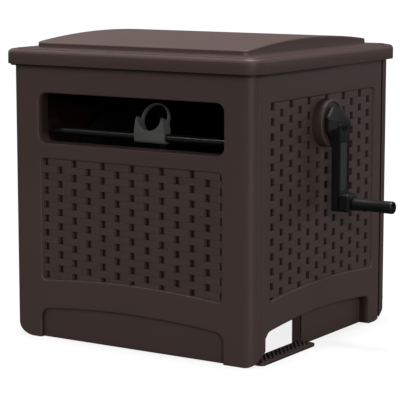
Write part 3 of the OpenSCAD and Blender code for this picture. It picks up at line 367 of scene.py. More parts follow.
class Sheet:
    """Collects grids of points, and makes one mesh object of them."""

    CUBE = np.array([[i & 1, i >> 1 & 1, i >> 2 & 1] for i in range(8)], float)
    CUBE_FACES = np.array(
        [[0, 2, 3, 1], [4, 5, 7, 6], [0, 1, 5, 4], [2, 6, 7, 3], [0, 4, 6, 2], [1, 3, 7, 5]]
    )

    def __init__(self):
        self.points, self.faces, self.tones, self.count = [], [], [], 0

    def add(self, flat, faces, tones):
        self.points.append(flat)
        self.faces.append(faces + self.count)
        self.tones.append(tones)
        self.count += len(flat)

    def grid(self, p, closed, toward, tone=0.0):
        """Adds a grid of points of shape (rows, columns, 3), or a stack of grids, with closed rows or not,
        its faces turned towards a direction. The tone is a number for each point, or one that is shared
        along an axis; it carries a random tone as well as painted shade and painted highlights."""
        shape = p.shape[:-1]
        flat = p.reshape(-1, 3)
        index = np.arange(len(flat)).reshape(-1, *shape[-2:])
        if closed:
            index = np.concatenate([index, index[:, :, :1]], 2)
        quads = np.stack(
            [index[:, :-1, :-1], index[:, :-1, 1:], index[:, 1:, 1:], index[:, 1:, :-1]], -1
        ).reshape(-1, 4)
        normals = np.cross(flat[quads[:, 2]] - flat[quads[:, 0]], flat[quads[:, 3]] - flat[quads[:, 1]])
        middle = flat[quads].mean(1)
        aim = toward(middle) if callable(toward) else toward
        if (normals * aim).sum() < 0:
            quads = quads[:, ::-1]
        self.add(flat, quads, np.broadcast_to(tone, shape).ravel())

    def revolve(self, along, radius, centre, steps, tone=0.0, axis=X, side=Y):
        """A section of places along an axis and radii, carried round the axis from the side direction.
        The tone, which carries painted shade, is one number, or one for each place."""
        a = np.arange(steps) * 2 * pi / steps
        ring = np.cos(a)[:, None] * side + np.sin(a)[:, None] * np.cross(axis, side)
        p = centre + np.reshape(along, (-1, 1, 1)) * axis + np.reshape(radius, (-1, 1, 1)) * ring
        self.grid(p, True, lambda m: off_axis(m, centre, axis), np.reshape(tone, (-1, 1)))

    def block(self, low, high):
        """A box between two corners."""
        self.add(low + self.CUBE * np.subtract(high, low), self.CUBE_FACES, np.zeros(8))

    @staticmethod
    def paint_shade_inside(mesh, outside):
        """Gives the points that the wall's thickness added, which follow the outer ones, the dark tone:
        painted shade on the walls' inner faces.
        """
        tones = np.zeros(len(mesh.vertices), np.float32)
        held = mesh.attributes.get("tone") or mesh.attributes.new("tone", "FLOAT", "POINT")
        held.data.foreach_get("value", tones)
        tones[outside:] = 1.0
        held.data.foreach_set("value", tones)

    def make(
        self, name, body="box", look="moulded_resin", replaces=(),
        thickness=0.0, bevel=0.0, sharp=32,
    ):
        """Merges the grids into a mesh, gives it a wall or rounded edges, and lets it ride on its body."""
        mesh = bpy.data.meshes.new(name)
        mesh.from_pydata(np.concatenate(self.points) + box_origin(), [], np.concatenate(self.faces).tolist())
        # The tone attribute holds a random tone, painted shade and painted highlights for the material to
        # read
        tones = np.concatenate(self.tones)
        if tones.any():
            mesh.attributes.new("tone", "FLOAT", "POINT").data.foreach_set("value", tones.astype(np.float32))
        work = bmesh.new()
        work.from_mesh(mesh)
        bmesh.ops.remove_doubles(work, verts=work.verts, dist=MERGE)
        bmesh.ops.dissolve_degenerate(work, edges=work.edges, dist=NO_EDGE)
        work.to_mesh(mesh)
        work.free()
        piece = linked(name, mesh)
        if thickness:
            wall = piece.modifiers.new("Wall", "SOLIDIFY")
            wall.thickness, wall.offset, wall.use_quality_normals = thickness, -1, True
        if bevel:
            edge = piece.modifiers.new("Edges", "BEVEL")
            edge.width, edge.segments, edge.limit_method, edge.angle_limit = bevel, 3, "ANGLE", radians(40)
        if thickness or bevel:
            bpy.context.view_layer.update()
            finished = bpy.data.meshes.new_from_object(
                piece.evaluated_get(bpy.context.evaluated_depsgraph_get())
            )
            piece.modifiers.clear()
            piece.data = finished
            if thickness:
                self.paint_shade_inside(finished, len(mesh.vertices))
            bpy.data.meshes.remove(mesh)
            finished.name = name
        piece.data.shade_smooth()
        piece.data.set_sharp_from_angle(angle=radians(sharp))
        piece.data.materials.clear()
        piece.data.materials.append(finish(look))
        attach(piece, body)
        if replaces:
            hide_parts(*replaces)


# Finishes


class Value:
    """A socket of a node tree. Sums and products of values add Math nodes."""

    def __init__(self, paint, socket):
        self.paint, self.socket = paint, socket

    def math(self, operation, other):
        return self.paint.node("ShaderNodeMath", {"operation": operation}, {0: self, 1: other})

    def __add__(self, other):
        return self.math("ADD", other)

    def __mul__(self, other):
        return self.math("MULTIPLY", other)

    __radd__, __rmul__ = __add__, __mul__


class Paint:
    """A material, or a world, and its node tree."""

    def __init__(self, name, store="materials"):
        self.owner = getattr(bpy.data, store).new(name)
        self.owner.use_nodes = True
        self.tree = self.owner.node_tree
        self.tree.nodes.clear()

    def node(self, kind, options=None, sockets=None, out=0):
        """Makes a node, sets its options, then the values or links of its sockets, and gives an output."""
        made = self.tree.nodes.new(kind)
        for key, value in (options or {}).items():
            setattr(made, key, value)
        for key, value in (sockets or {}).items():
            if isinstance(value, Value):
                self.tree.links.new(value.socket, made.inputs[key])
            else:
                made.inputs[key].default_value = value
        return Value(self, made.outputs[out]) if made.outputs else None

    def place(self, stretch=(1, 1, 1)):
        """Object coordinates, stretched along the axes."""
        at = self.node("ShaderNodeTexCoord", out="Object")
        return self.node("ShaderNodeMapping", None, {"Vector": at, "Scale": stretch})

    def noise(self, at, scale, detail=3.0, rough=0.55):
        return self.node(
            "ShaderNodeTexNoise", None, {"Vector": at, "Scale": scale, "Detail": detail, "Roughness": rough}
        )

    # The tone attribute: a random tone, painted shade and painted highlights
    def tone(self):
        return self.node("ShaderNodeAttribute", {"attribute_name": "tone"}, out="Fac")

    def camera_ray(self):
        return self.node("ShaderNodeLightPath", out="Is Camera Ray")

    def tint(self, share, low, high):
        """A colour between two, by a share."""
        low, high = (c if isinstance(c, Value) else (*c, 1) for c in (low, high))
        return self.node("ShaderNodeMix", {"data_type": "RGBA"}, {0: share, 6: low, 7: high}, out=2)

    def bump(self, height, strength, distance):
        return self.node(
            "ShaderNodeBump", None, {"Height": height, "Strength": strength, "Distance": distance}
        )

    def light(self, kind, strength):
        """White light of a surface or of the air."""
        return self.node(kind, None, {"Color": (1, 1, 1, 1), "Strength": strength})

    def close(self, shader, kind="ShaderNodeOutputMaterial"):
        """Ends the tree with a shader, or with the sockets of a plain surface."""
        if isinstance(shader, dict):
            shader = self.node("ShaderNodeBsdfPrincipled", None, shader)
        self.node(kind, None, {"Surface": shader})
        return self.owner


def shade(tint, factor):
    return tuple(min(1.0, c * factor) for c in tint)


def gloom(tint):
    """The tint painted as shade deep in a groove: dark, and a warm tint also redder than on the face."""
    cold = 0.06 if tint[0] > 1.2 * tint[2] else 0.15
    return tint[0] * 0.15, tint[1] * cold, tint[2] * cold


def moulded(name, tint, rough, grain, grain_height, cloud, gloss):
    """Moulded plastic: a fine spark-eroded grain, soft clouds of colour, and roughness that follows both.
    The tone draws the colour towards the gloom: painted shade in reveals, seams, grooves, under the lid,
    inside the walls, on the boss and on the crank."""
    paint = Paint(name)
    at = paint.place()
    clouds = paint.noise(at, 7.0, 4.0)
    fine = paint.noise(at, grain, 2.0, 0.6)
    face = paint.tint(clouds * 0.75 + fine * 0.25, shade(tint, 1 - cloud), shade(tint, 1 + cloud))
    return paint.close({
        "Base Color": paint.tint(paint.tone(), face, gloom(tint)),
        "Roughness": rough - 0.07 + clouds * 0.08 + fine * 0.06,
        "Normal": paint.bump(fine, 0.35, grain_height),
        "Specular IOR Level": gloss,
    })


def woven(name, tint, stretch):
    """Woven resin: streaks along the strands, and a tone that differs at random from strand to strand and
    also carries painted shade, in the pockets and on the side fields' strand ends, and a painted highlight on
    the front's strand ends.
    """
    paint = Paint(name)
    streaks = paint.noise(paint.place(stretch), 60.0, 4.0, 0.6)
    fine = paint.noise(paint.place(), 1100.0, 2.0)
    share = paint.tone() * (0.67 + streaks * 0.25 + fine * 0.1)
    return paint.close({
        "Base Color": paint.tint(share, gloom(tint), shade(tint, 1.2)),
        "Roughness": 0.43 + streaks * 0.12,
        "Normal": paint.bump(streaks * 0.8 + fine * 0.2, 0.5, 0.0004),
    })


def worn_steel(name, tint):
    """Plated steel: brushed along its length, with cloudy plating."""
    paint = Paint(name)
    brushed = paint.noise(paint.place((4.0, 90.0, 90.0)), 30.0, 3.0)
    clouds = paint.noise(paint.place(), 25.0, 3.0)
    return paint.close({
        "Base Color": paint.tint(clouds, shade(tint, 0.85), shade(tint, 1.08)),
        "Metallic": 1.0,
        "Roughness": 0.24 + brushed * 0.16,
        "Normal": paint.bump(brushed, 0.15, 0.0001),
    })


def studio_white(name, stage):
    """The floor: white to the camera, with the box's shadow softened by some light of its own, and dark
    grey to other rays, so that little light comes back from it onto the box."""
    paint = Paint(name)
    seen = paint.camera_ray()
    clouds = paint.noise(paint.place(), 1.3, 2.0)
    white = paint.tint(clouds, shade(stage.floor, 0.99), shade(stage.floor, 1.01))
    matt = paint.node("ShaderNodeBsdfPrincipled", None, {
        "Base Color": paint.tint(seen, stage.bounce, white), "Roughness": 0.9, "Specular IOR Level": 0.0,
    })
    glow = paint.light("ShaderNodeEmission", 1.0)
    return paint.close(paint.node("ShaderNodeMixShader", None, {0: seen * stage.glow, 1: matt, 2: glow}))


# Moulded finishes: tint, roughness, scale and height of the grain, spread of the clouds and gloss
MOULDED = {
    "moulded_resin": ("resin", 0.50, 900.0, 0.00012, 0.10, 0.4),
    # The foot plate's resin, darkened to stand in for the shade under the box: painted shade
    "shaded_resin": ("plate", 0.55, 900.0, 0.00012, 0.10, 0.5),
    # The resin in its gloom: painted shade on the rod's socket inside the box
    "dark_resin": ("resin", 0.55, 900.0, 0.00012, 0.10, 0.5),
    "black_moulding": ("black", 0.42, 1200.0, 0.00006, 0.18, 0.4),
    # The arm's tint is the lighter grey of a painted sheen on its channel's floor
    "arm_moulding": ("channel", 0.42, 1200.0, 0.00006, 0.18, 0.2),
    "polished_black": ("black", 0.24, 1200.0, 0.00002, 0.10, 0.5),
    "grey_moulding": ("grey", 0.46, 1100.0, 0.00008, 0.10, 0.5),
    "waxy_nylon": ("nylon", 0.44, 700.0, 0.00005, 0.06, 0.5),
    "seal_rubber": ("rubber", 0.72, 500.0, 0.00006, 0.12, 0.5),
}
# Woven finishes: stretch of the streaks along the axes
WOVEN = {"woven_resin_front": (0.35, 4.0, 6.0), "woven_resin_side": (4.0, 0.35, 6.0)}
FINISHES = {}


def make_finish(name):
    tints = settings().finishes
    if name in MOULDED:
        key, *rest = MOULDED[name]
        tint = tuple(getattr(tints, key))
        # The resin in painted shade is moulded in the resin's gloom
        return moulded(name, gloom(tint) if name == "dark_resin" else tint, *rest)
    if name in WOVEN:
        return woven(name, tuple(tints.woven), WOVEN[name])
    maker, look = {
        "plated_steel": (worn_steel, tints.steel), "studio_white": (studio_white, settings().stage)
    }[name]
    return maker(name, look)


def finish(name):
    """A finish by its name, made when it is first asked for."""
    if name not in FINISHES:
        FINISHES[name] = make_finish(name)
    return FINISHES[name]


# Walls

# A sunk opening: middle, half width, lower and upper edge, corner radius, rise of both edges, depth, and
# whether it has a floor
Hole = namedtuple("Hole", "mid half low high radius low_rise high_rise depth floored", defaults=[True])
# Posts behind the right (1) and the left side (-1): distance from the middle of the depth, and height
POSTS = {1: ((0.070, 0.1655), (0.030, 0.440)), -1: ((0.070, 0.1655), (0.040, 0.332))}
# The posts' radius and chamfer, their ends from the box's middle and from the sides' faces, and their bores
POST, POST_EDGE, POST_IN, POST_SEAT = 0.009, 0.0008, 0.2183, 0.0145
POST_BORE, POST_BORE_DEPTH = 0.0026, 0.012
# Rounding of the walls' upper edge, and the inner flanges' lower end and gap to the walls' top
TOP_ROUND, FLANGE_LOW, FLANGE_GAP = 0.002, 0.0815, 0.001
# Heights at which a wall's part round its arch ends, and at which the front's part round its window starts
ARCH_ZONE, WINDOW_ZONE = 0.085, 0.354
# Gap at the front end of the left arch's floor, and height of the wall that edges the way out
LEFT_ARCH_GAP, WAY_HIGH = 0.0015, 0.058
# Hinges: radius of a knuckle's bore, and the ears' gap to the lug and rounding
HINGE_BORE, EAR_GAP, EAR_EDGE = 0.00305, 0.0005, 0.0005
# How dark the sides of an opening are painted: painted shade in its recess
REVEAL_SHADE = 0.8
# Distance by which the front foot of a side reaches past the arch's end
FOOT_REACH = 0.001


def arch_hole(half, depth, mid=0.0):
    o = settings().openings
    return Hole(mid, half, 0.0, o.arch_end, o.arch_round, 0.0, o.arch_rise, depth)


def field_hole(side):
    """The woven field of the front, or of a side."""
    o = settings().openings
    half, high = (o.side_field_half, o.side_field_high) if side else (o.front_field_half, o.front_field_high)
    return Hole(0.0, half, o.field_low, high, o.field_round, o.field_rise, 0.0, o.field_depth)


class Wall:
    """Carries (along, height, depth) of a wall into the box's frame, lifted over the wall's own floor."""

    def __init__(self, turn, reach, floor):
        self.along = np.array([cos(turn), sin(turn)])
        self.out = np.array([sin(turn), -cos(turn)])
        self.outward = np.append(self.out, 0.0)
        self.reach, self.floor = reach, floor

    def __call__(self, u, v, depth):
        u, v, depth = np.broadcast_arrays(u, v, depth)
        xy = u[..., None] * self.along + (self.reach - depth)[..., None] * self.out
        return raised(xy, lifted(v, self.floor(xy[..., 0], xy[..., 1])))


def lifted(height, floor):
    """A height over a raised floor: the band above the ground is squeezed into what the floor leaves."""
    return height + floor * np.clip(1 - height / FOOT_BAND, 0, 1)


def rounding(place, edge, radius):
    """Height of a rounded lower corner: zero until a radius before the edge, then a quarter circle."""
    past = np.clip(place - (edge - radius), 0, radius)
    return radius - np.sqrt(radius**2 - past**2)


def zone(sheet, wall, middle, half, low, high, hole):
    """A flat oblong of a wall round one sunk opening: rings from the opening's depth, up its side, round
    its lip and out to the oblong's edge. An opening that starts at the ground is open below. Gives the
    heights of the points along the oblong's upright edge."""
    lip = settings().walls.lip
    open_below = hole.low == 0.0
    out, deep = lip_section(lip, hole.depth)
    radius = hole.radius + out
    low_radius, foot = (0 * out, hole.low + 0 * out) if open_below else (radius, hole.low - out)
    rings = outline(
        hole.half + out, foot, hole.high + out, radius, low_radius, hole.mid, hole.low_rise, hole.high_rise
    )
    edge = outline(half, low, high, 0.0, None, middle)
    share = np.linspace(0, 1, 9)[1:, None, None]
    p = np.concatenate([rings, rings[-1] + share * (edge - rings[-1])])
    d = np.append(deep, np.zeros(len(share)))[:, None]
    if open_below:
        p = p[:, np.r_[SIDE_STEPS : 4 * SIDE_STEPS, 0]]
    # Painted shade on the opening's sides, deeper than its lip
    painted_shade = REVEAL_SHADE * np.clip((d - lip) / lip, 0, 1)
    if not hole.floored:
        # The painted shade fades out at the sill, on which light falls
        painted_shade = painted_shade * np.clip((p[..., 1] - hole.low) / hole.radius, 0, 1)
    sheet.grid(wall(p[..., 0], p[..., 1], d), not open_below, wall.outward, painted_shade)
    return edge[0, SIDE_STEPS : 2 * SIDE_STEPS, 1]


def pan(sheet, wall, hole, left=0.0, right=0.0):
    """The floor of a sunk opening: a grid between its arched edges, cut short at its ends."""
    u = np.linspace(hole.mid - hole.half + left, hole.mid + hole.half - right, 33)
    bow = 1 - np.clip((u - hole.mid) / hole.half, -1, 1) ** 2
    v = np.linspace(0, 1, 9)[:, None]
    lower, upper = hole.low + hole.low_rise * bow, hole.high + hole.high_rise * bow
    sheet.grid(wall(u, lower + v * (upper - lower), hole.depth), False, wall.outward)


def seam_section(depth):
    """Section of a wall's edge at a joint as (along, inwards, painted shade): a quarter round, then straight
    in, where the joint is darkened with painted shade.
    """
    r = settings().walls.seam_round
    inset, drop = quarter_round(r, 4)
    inwards = np.append(inset, depth)
    return np.append(-drop, 0.0), inwards, np.clip(inwards / r, 0, 1)


def corner(sheet, sx, sy, radius, joint, heights, floor, seam_depth):
    """A rounded upright corner and its return, from the wall's face to its joint. Gives its plan."""
    inset, drop = quarter_round(radius, 9)
    along, inwards, painted_shade = seam_section(seam_depth)
    x = (HALF_W - np.append(drop, inwards)) * sx
    y = np.append(settings().walls.depth / 2 - inset, joint - along) * sy
    # Painted shade in the joint, none on the rounded corner
    painted_shade = np.append(0 * inset, painted_shade)
    sheet.grid(points(x, y, lifted(heights[:, None], floor(x, y))), False, (sx, sy, 0), painted_shade)
    return x, y


def ledge(sheet, x, y, inner_x, inner_y):
    """The ledge along a wall's top: from the face over a small round, level to its inner edge."""
    outer, inner = (np.stack(np.broadcast_arrays(*plan), -1) for plan in ((x, y), (inner_x, inner_y)))
    way = inner - outer
    reach = np.linalg.norm(way, axis=1, keepdims=True)
    inset, drop = quarter_round(TOP_ROUND, 5)
    rows = outer + way / np.maximum(reach, NO_EDGE) * np.minimum(inset[:, None, None], reach)
    z = WALL_TOP - np.append(drop, 0.0)
    sheet.grid(raised(np.append(rows, inner[None], 0), z[:, None]), False, UP)


def end_wall(sheet, sy, floor, radius, fold, joint, seam_depth, zones):
    """The front wall (sy -1) or the back wall (sy 1): its zones from the ground up, given as (upper edge,
    opening), the floors of its openings, its corners and its ledge, which ends at the fold."""
    half_d, flat = settings().walls.depth / 2, HALF_W - radius
    wall = Wall(0.0 if sy < 0 else pi, half_d, floor)
    low, heights = 0.0, []
    for high, hole in zones:
        heights.append(zone(sheet, wall, 0.0, flat, low, high, hole))
        low = high
    heights = np.append(np.concatenate(heights), low)
    for _, hole in zones:
        if hole.floored:
            pan(sheet, wall, hole)
    for sx in (-1, 1):
        x, y = corner(sheet, sx, sy, radius, joint, heights, floor, seam_depth)
        ledge(sheet, x, y, x, sy * fold)
    x = (2 * EDGE_RUN - 1) * flat
    ledge(sheet, x, sy * half_d, x, sy * fold)


def knuckle(sheet, x0, x1):
    """A bored barrel round the hinge's axis, between two places along it."""
    s = settings().lid
    r, bore = s.knuckle / 2, HINGE_BORE
    axle = np.array([0, settings().walls.depth / 2 + s.hinge_behind, s.hinge_height])
    sheet.revolve([x0, x0, x1, x1], [bore, r, r, bore], axle, 40)


class REELBOX_OT_walls(bpy.types.Operator):
    """Builds the four moulded walls with their window, fields, arches, corners, ledges and inner ribs"""

    bl_idname = "reel_box.walls"
    bl_label = "Walls"

    def execute(self, context):
        w, o = settings().walls, settings().openings
        half_d = w.depth / 2
        top = WALL_TOP - TOP_ROUND
        way_front = o.side_arch_shift - o.side_arch_half

        def slant(y):
            return w.foot_lift * np.clip((y + half_d) / (way_front + half_d), 0, 1)

        def front_floor(x, y):
            near = np.where(x > HALF_W - w.front_corner, slant(y), 0.0)
            return np.maximum(rounding(-x, HALF_W, w.foot_round), near)

        def side_floor(x, y):
            end = np.where(y < way_front + FOOT_REACH, np.where(x > 0, slant(y), w.foot_round), 0.0)
            return np.maximum(rounding(y, half_d, w.foot_round), end)

        def back_floor(x, y):
            return rounding(y, half_d, w.foot_round)

        front_arch = arch_hole(o.front_arch_half, o.front_arch_depth)
        side_field = field_hole(True)
        window = Hole(
            0.0, o.window_half, o.window_low, o.window_high, o.window_round, 0.0, 0.0, o.window_reveal, False
        )

        front = Sheet()
        fold = half_d - w.front_return
        zones = (ARCH_ZONE, front_arch), (WINDOW_ZONE, field_hole(False)), (top, window)
        end_wall(front, -1, front_floor, w.front_corner, fold, fold, w.skin, zones)
        front.make("front_shell", replaces=["front_wall"], thickness=w.skin)

        y0, y1 = -half_d + w.front_return + w.seam, half_d - w.back_return - w.groove / 2
        for name, side in (("right", 1), ("left", -1)):
            sheet = Sheet()
            wall = Wall(side * pi / 2, HALF_W, side_floor)
            middle, half = side * (y0 + y1) / 2, (y1 - y0) / 2
            depth = o.side_arch_depth if side > 0 else o.front_arch_depth
            arch = arch_hole(o.side_arch_half, depth, side * o.side_arch_shift)
            flat = half - w.seam_round
            heights = np.concatenate([
                zone(sheet, wall, middle, flat, 0.0, ARCH_ZONE, arch),
                zone(sheet, wall, middle, flat, ARCH_ZONE, top, side_field),
                [top],
            ])
            for end, deep in ((-side, w.skin), (side, w.groove_depth)):
                # The joints' edges, with painted shade in the front seam and the back groove
                along, inwards, painted_shade = seam_section(deep)
                edge = wall(middle + end * (half + along), heights[:, None], inwards)
                sheet.grid(edge, False, wall.outward, painted_shade)
            pan(sheet, wall, arch, *((o.way_out, 0.0) if side > 0 else (0.0, LEFT_ARCH_GAP)))
            pan(sheet, wall, side_field)
            if side > 0:
                # Wall that edges the leader hose's way out
                x = HALF_W - o.side_arch_depth - np.array([[0.0], [o.way_edge]])
                sheet.grid(points(x, way_front + o.way_out, np.array([0.0, WAY_HIGH])), False, -Y)
            y = y0 + EDGE_RUN * (y1 - y0)
            ledge(sheet, side * HALF_W, y, side * (HALF_W - w.ledge), y)
            sheet.make(f"{name}_shell", replaces=[f"{name}_wall"], thickness=w.skin)

        back = Sheet()
        fold = half_d - w.back_return
        zones = (ARCH_ZONE, front_arch), (top, side_field)
        end_wall(back, 1, back_floor, w.back_corner, fold, fold + w.groove / 2, w.groove_depth, zones)
        inset, drop = (v[:, None] for v in quarter_round(w.foot_round, 10))
        for s in (-1, 1):
            x = s * np.linspace(o.front_arch_half, HALF_W - w.skin - w.seam, 5)
            back.grid(points(x, half_d - inset, drop), False, Y - UP)
        back.make("back_shell", replaces=["back_wall"], thickness=w.skin)

        self.ribs(w, half_d)
        return {"FINISHED"}

    def ribs(self, w, half_d):
        """Inner flanges at the corners, the posts that carry the brackets, and the hinge ears."""
        flanges = Sheet()
        front, back = -half_d + w.front_return, half_d - w.back_return
        for s in (-1, 1):
            x0, x1 = sorted([s * (HALF_W - w.flange), s * (HALF_W - w.groove_depth)])
            for y in (front - w.skin, front + w.seam, back - w.seam - w.skin, back):
                flanges.block([x0, y, FLANGE_LOW], [x1, y + w.skin, WALL_TOP - FLANGE_GAP])
        flanges.make("corner_flanges", bevel=SOFT)

        posts = Sheet()
        start, end, r = POST_IN, HALF_W - POST_SEAT, POST
        along = [start + POST_BORE_DEPTH, start, start, start + POST_EDGE, end]
        radii = [POST_BORE, POST_BORE, r - POST_EDGE, r, r]
        for s in (-1, 1):
            for y, z in POSTS[s]:
                for sy in (-1, 1):
                    posts.revolve(along, radii, np.array([0.0, sy * y, z]), 32, axis=s * X)
        posts.make("bracket_posts")

        lid = settings().lid
        ears = Sheet()
        y, z, r = half_d + lid.hinge_behind, lid.hinge_height, lid.knuckle / 2
        inner = lid.lug / 2 + EAR_GAP
        for s in (-1, 1):
            for t in (-1, 1):
                x0, x1 = sorted(s * lid.hinge_half_span + t * np.array([inner, inner + lid.ear]))
                ears.block([x0, half_d - w.skin / 2, z - r], [x1, y, z + r])
                knuckle(ears, x0, x1)
        ears.make("hinge_ears", bevel=EAR_EDGE)


# Woven fields

# Share of a strand's length over which its ends dive, how far it falls off across, and its edges' depth
DIVE, FALL, SINK = 0.03, 0.012, 0.0004
# Columns of points across a strand
ACROSS = np.array([-1, -0.98, -0.8, -0.3, 0.3, 0.8, 0.98, 1.0])
# Tones of the strands, which differ at random; a painted highlight on the ends of the front's strands; and
# painted shade on the stakes and the base in the pockets
STRAND_TONES, FRONT_END_HIGHLIGHT, POCKET_SHADE = (0.84, 0.96), 1.3, 0.04
# Stakes beyond those that fit, so that a shifted field stays filled
SPARE_STAKES = 6


def field_limits(u, hole, margin):
    """Lower and upper limits of a field over its width: the arched edge, the top and the rounded corners."""
    half = hole.half - margin
    bend = rounding(np.abs(u), half, hole.radius)
    lower = hole.low + margin + np.maximum(hole.low_rise * (1 - (u / half) ** 2), bend)
    return lower, hole.high - margin - bend


class REELBOX_OT_weave(bpy.types.Operator):
    """Weaves the three fields: strands that bulge over every second stake and dip behind the others"""

    bl_idname = "reel_box.weave"
    bl_label = "Woven fields"

    def execute(self, context):
        s = settings().weave
        self.field("front", "front", 0.0, settings().walls.depth / 2, s.front_shift)
        self.field("right", "side", pi / 2, HALF_W, s.side_shift)
        self.field("left", "side", -pi / 2, HALF_W, 0.0)
        return {"FINISHED"}

    def field(self, name, kind, turn, reach, shift):
        """One field: its strands, the stakes that show in the pockets, and the base sheet behind both."""
        s = settings().weave
        hole = field_hole(kind == "side")
        wall = Wall(turn, reach, lambda x, y: 0.0)
        sheet = Sheet()
        floor = hole.depth - s.base
        limit = hole.half - s.margin
        chance = np.random.default_rng(len(name))

        def place(u, v, rise):
            """Carries (along, height, rise over the base), held inside the field, into the box's frame."""
            u = np.clip(u, -limit, limit)
            return wall(u, np.clip(v, *field_limits(u, hole, s.margin)), floor - rise)

        stakes = 2 * int(np.ceil(hole.half / s.stake_pitch)) + SPARE_STAKES
        rows = int(np.ceil((hole.high - hole.low) / s.strand_pitch)) + 1
        stake_at = (np.arange(stakes) - (stakes - 1) / 2) * s.stake_pitch + shift
        column, row = np.meshgrid(np.arange(stakes), np.arange(rows), indexing="ij")
        over = (column + row) % 2 == 0
        strand_at = stake_at[column[over]]
        height_at = hole.high - (row[over] + 0.5) * s.strand_pitch
        long = s.stake_pitch - s.pocket / 2
        shown = (np.abs(strand_at) < limit + long) & (height_at > hole.low - s.strand_pitch)
        strand_at, height_at = strand_at[shown, None, None], height_at[shown, None, None]

        # Along a strand the rise is a cosine crest that dives at its ends; across it is a low round
        t = np.sin(np.linspace(-1, 1, 15) * pi / 2)[:, None]
        crest = s.end_rise + (s.crest_rise - s.end_rise) * np.cos(t * pi / 2)
        dive = np.clip((1 - np.abs(t)) / DIVE, 0, 1) ** 0.5
        rise = crest * dive * (1 - FALL * np.abs(ACROSS) ** 4)
        rise[:, [0, -1]] = -SINK
        tips = np.abs(t) == 1.0
        tone = chance.uniform(*STRAND_TONES, strand_at.shape)
        # The front's strand ends get a painted highlight, the sides' strand ends painted shade
        tone = tone * np.where(tips, FRONT_END_HIGHLIGHT if kind == "front" else 0.0, 1.0)
        strands = place(strand_at + long * t, height_at + s.strand_pitch * 0.5 * ACROSS, rise)
        sheet.grid(strands, False, wall.outward, tone)

        # Stakes: a half round over the whole height, dark with painted shade in the pockets
        a = np.linspace(0, pi, 7)
        at = stake_at[np.abs(stake_at) < limit - s.pocket / 2, None, None]
        v = np.linspace(hole.low, hole.high, 12)[:, None]
        bars = place(at + s.stake / 2 * np.cos(a), v, s.stake_rise * np.sin(a))
        sheet.grid(bars, False, wall.outward, POCKET_SHADE)

        # The base sheet behind the pockets, dark with painted shade
        u = np.linspace(-limit, limit, 33)
        lower, upper = field_limits(u, hole, s.margin)
        base = wall(u, lower + np.linspace(0, 1, 5)[:, None] * (upper - lower), floor)
        sheet.grid(base, False, wall.outward, POCKET_SHADE)
        sheet.make(f"{name}_strands", look=f"woven_resin_{kind}", replaces=[f"{name}_weave"], sharp=50)


# Lid

# Roundings of the lip's lower edge, of the raised ledge and of the crown's edge
TUCK, STEP_ROUND, TIER_ROUND = 0.0008, 0.0022, 0.002
# Groove round the raised ledge: (inset, height) from its middle at the lid's shoulder
GROOVE = ((-0.0016, 0.0006), (-0.0006, -0.0004), (0.0004, 0.0004))
# Insets of the groove's middle and of its inner side, of the ledge's flat and of the hollow before the tier
GROOVE_INSET, GROOVE_SIDE, LEDGE_FLAT, TIER_HOLLOW = 0.002, 0.0008, 0.010, 0.0016
# The tier's side: lean and share of its height
TIER_LEAN, TIER_SHARES = np.array([-0.0003, 0.0, 0.0003]), (0.06, 0.2, 0.85)
# Shares of the corner's radius that are left at the raised ledge and at the crown
CORNER_LEFT = np.array([1.0, 0.73, 0.5])


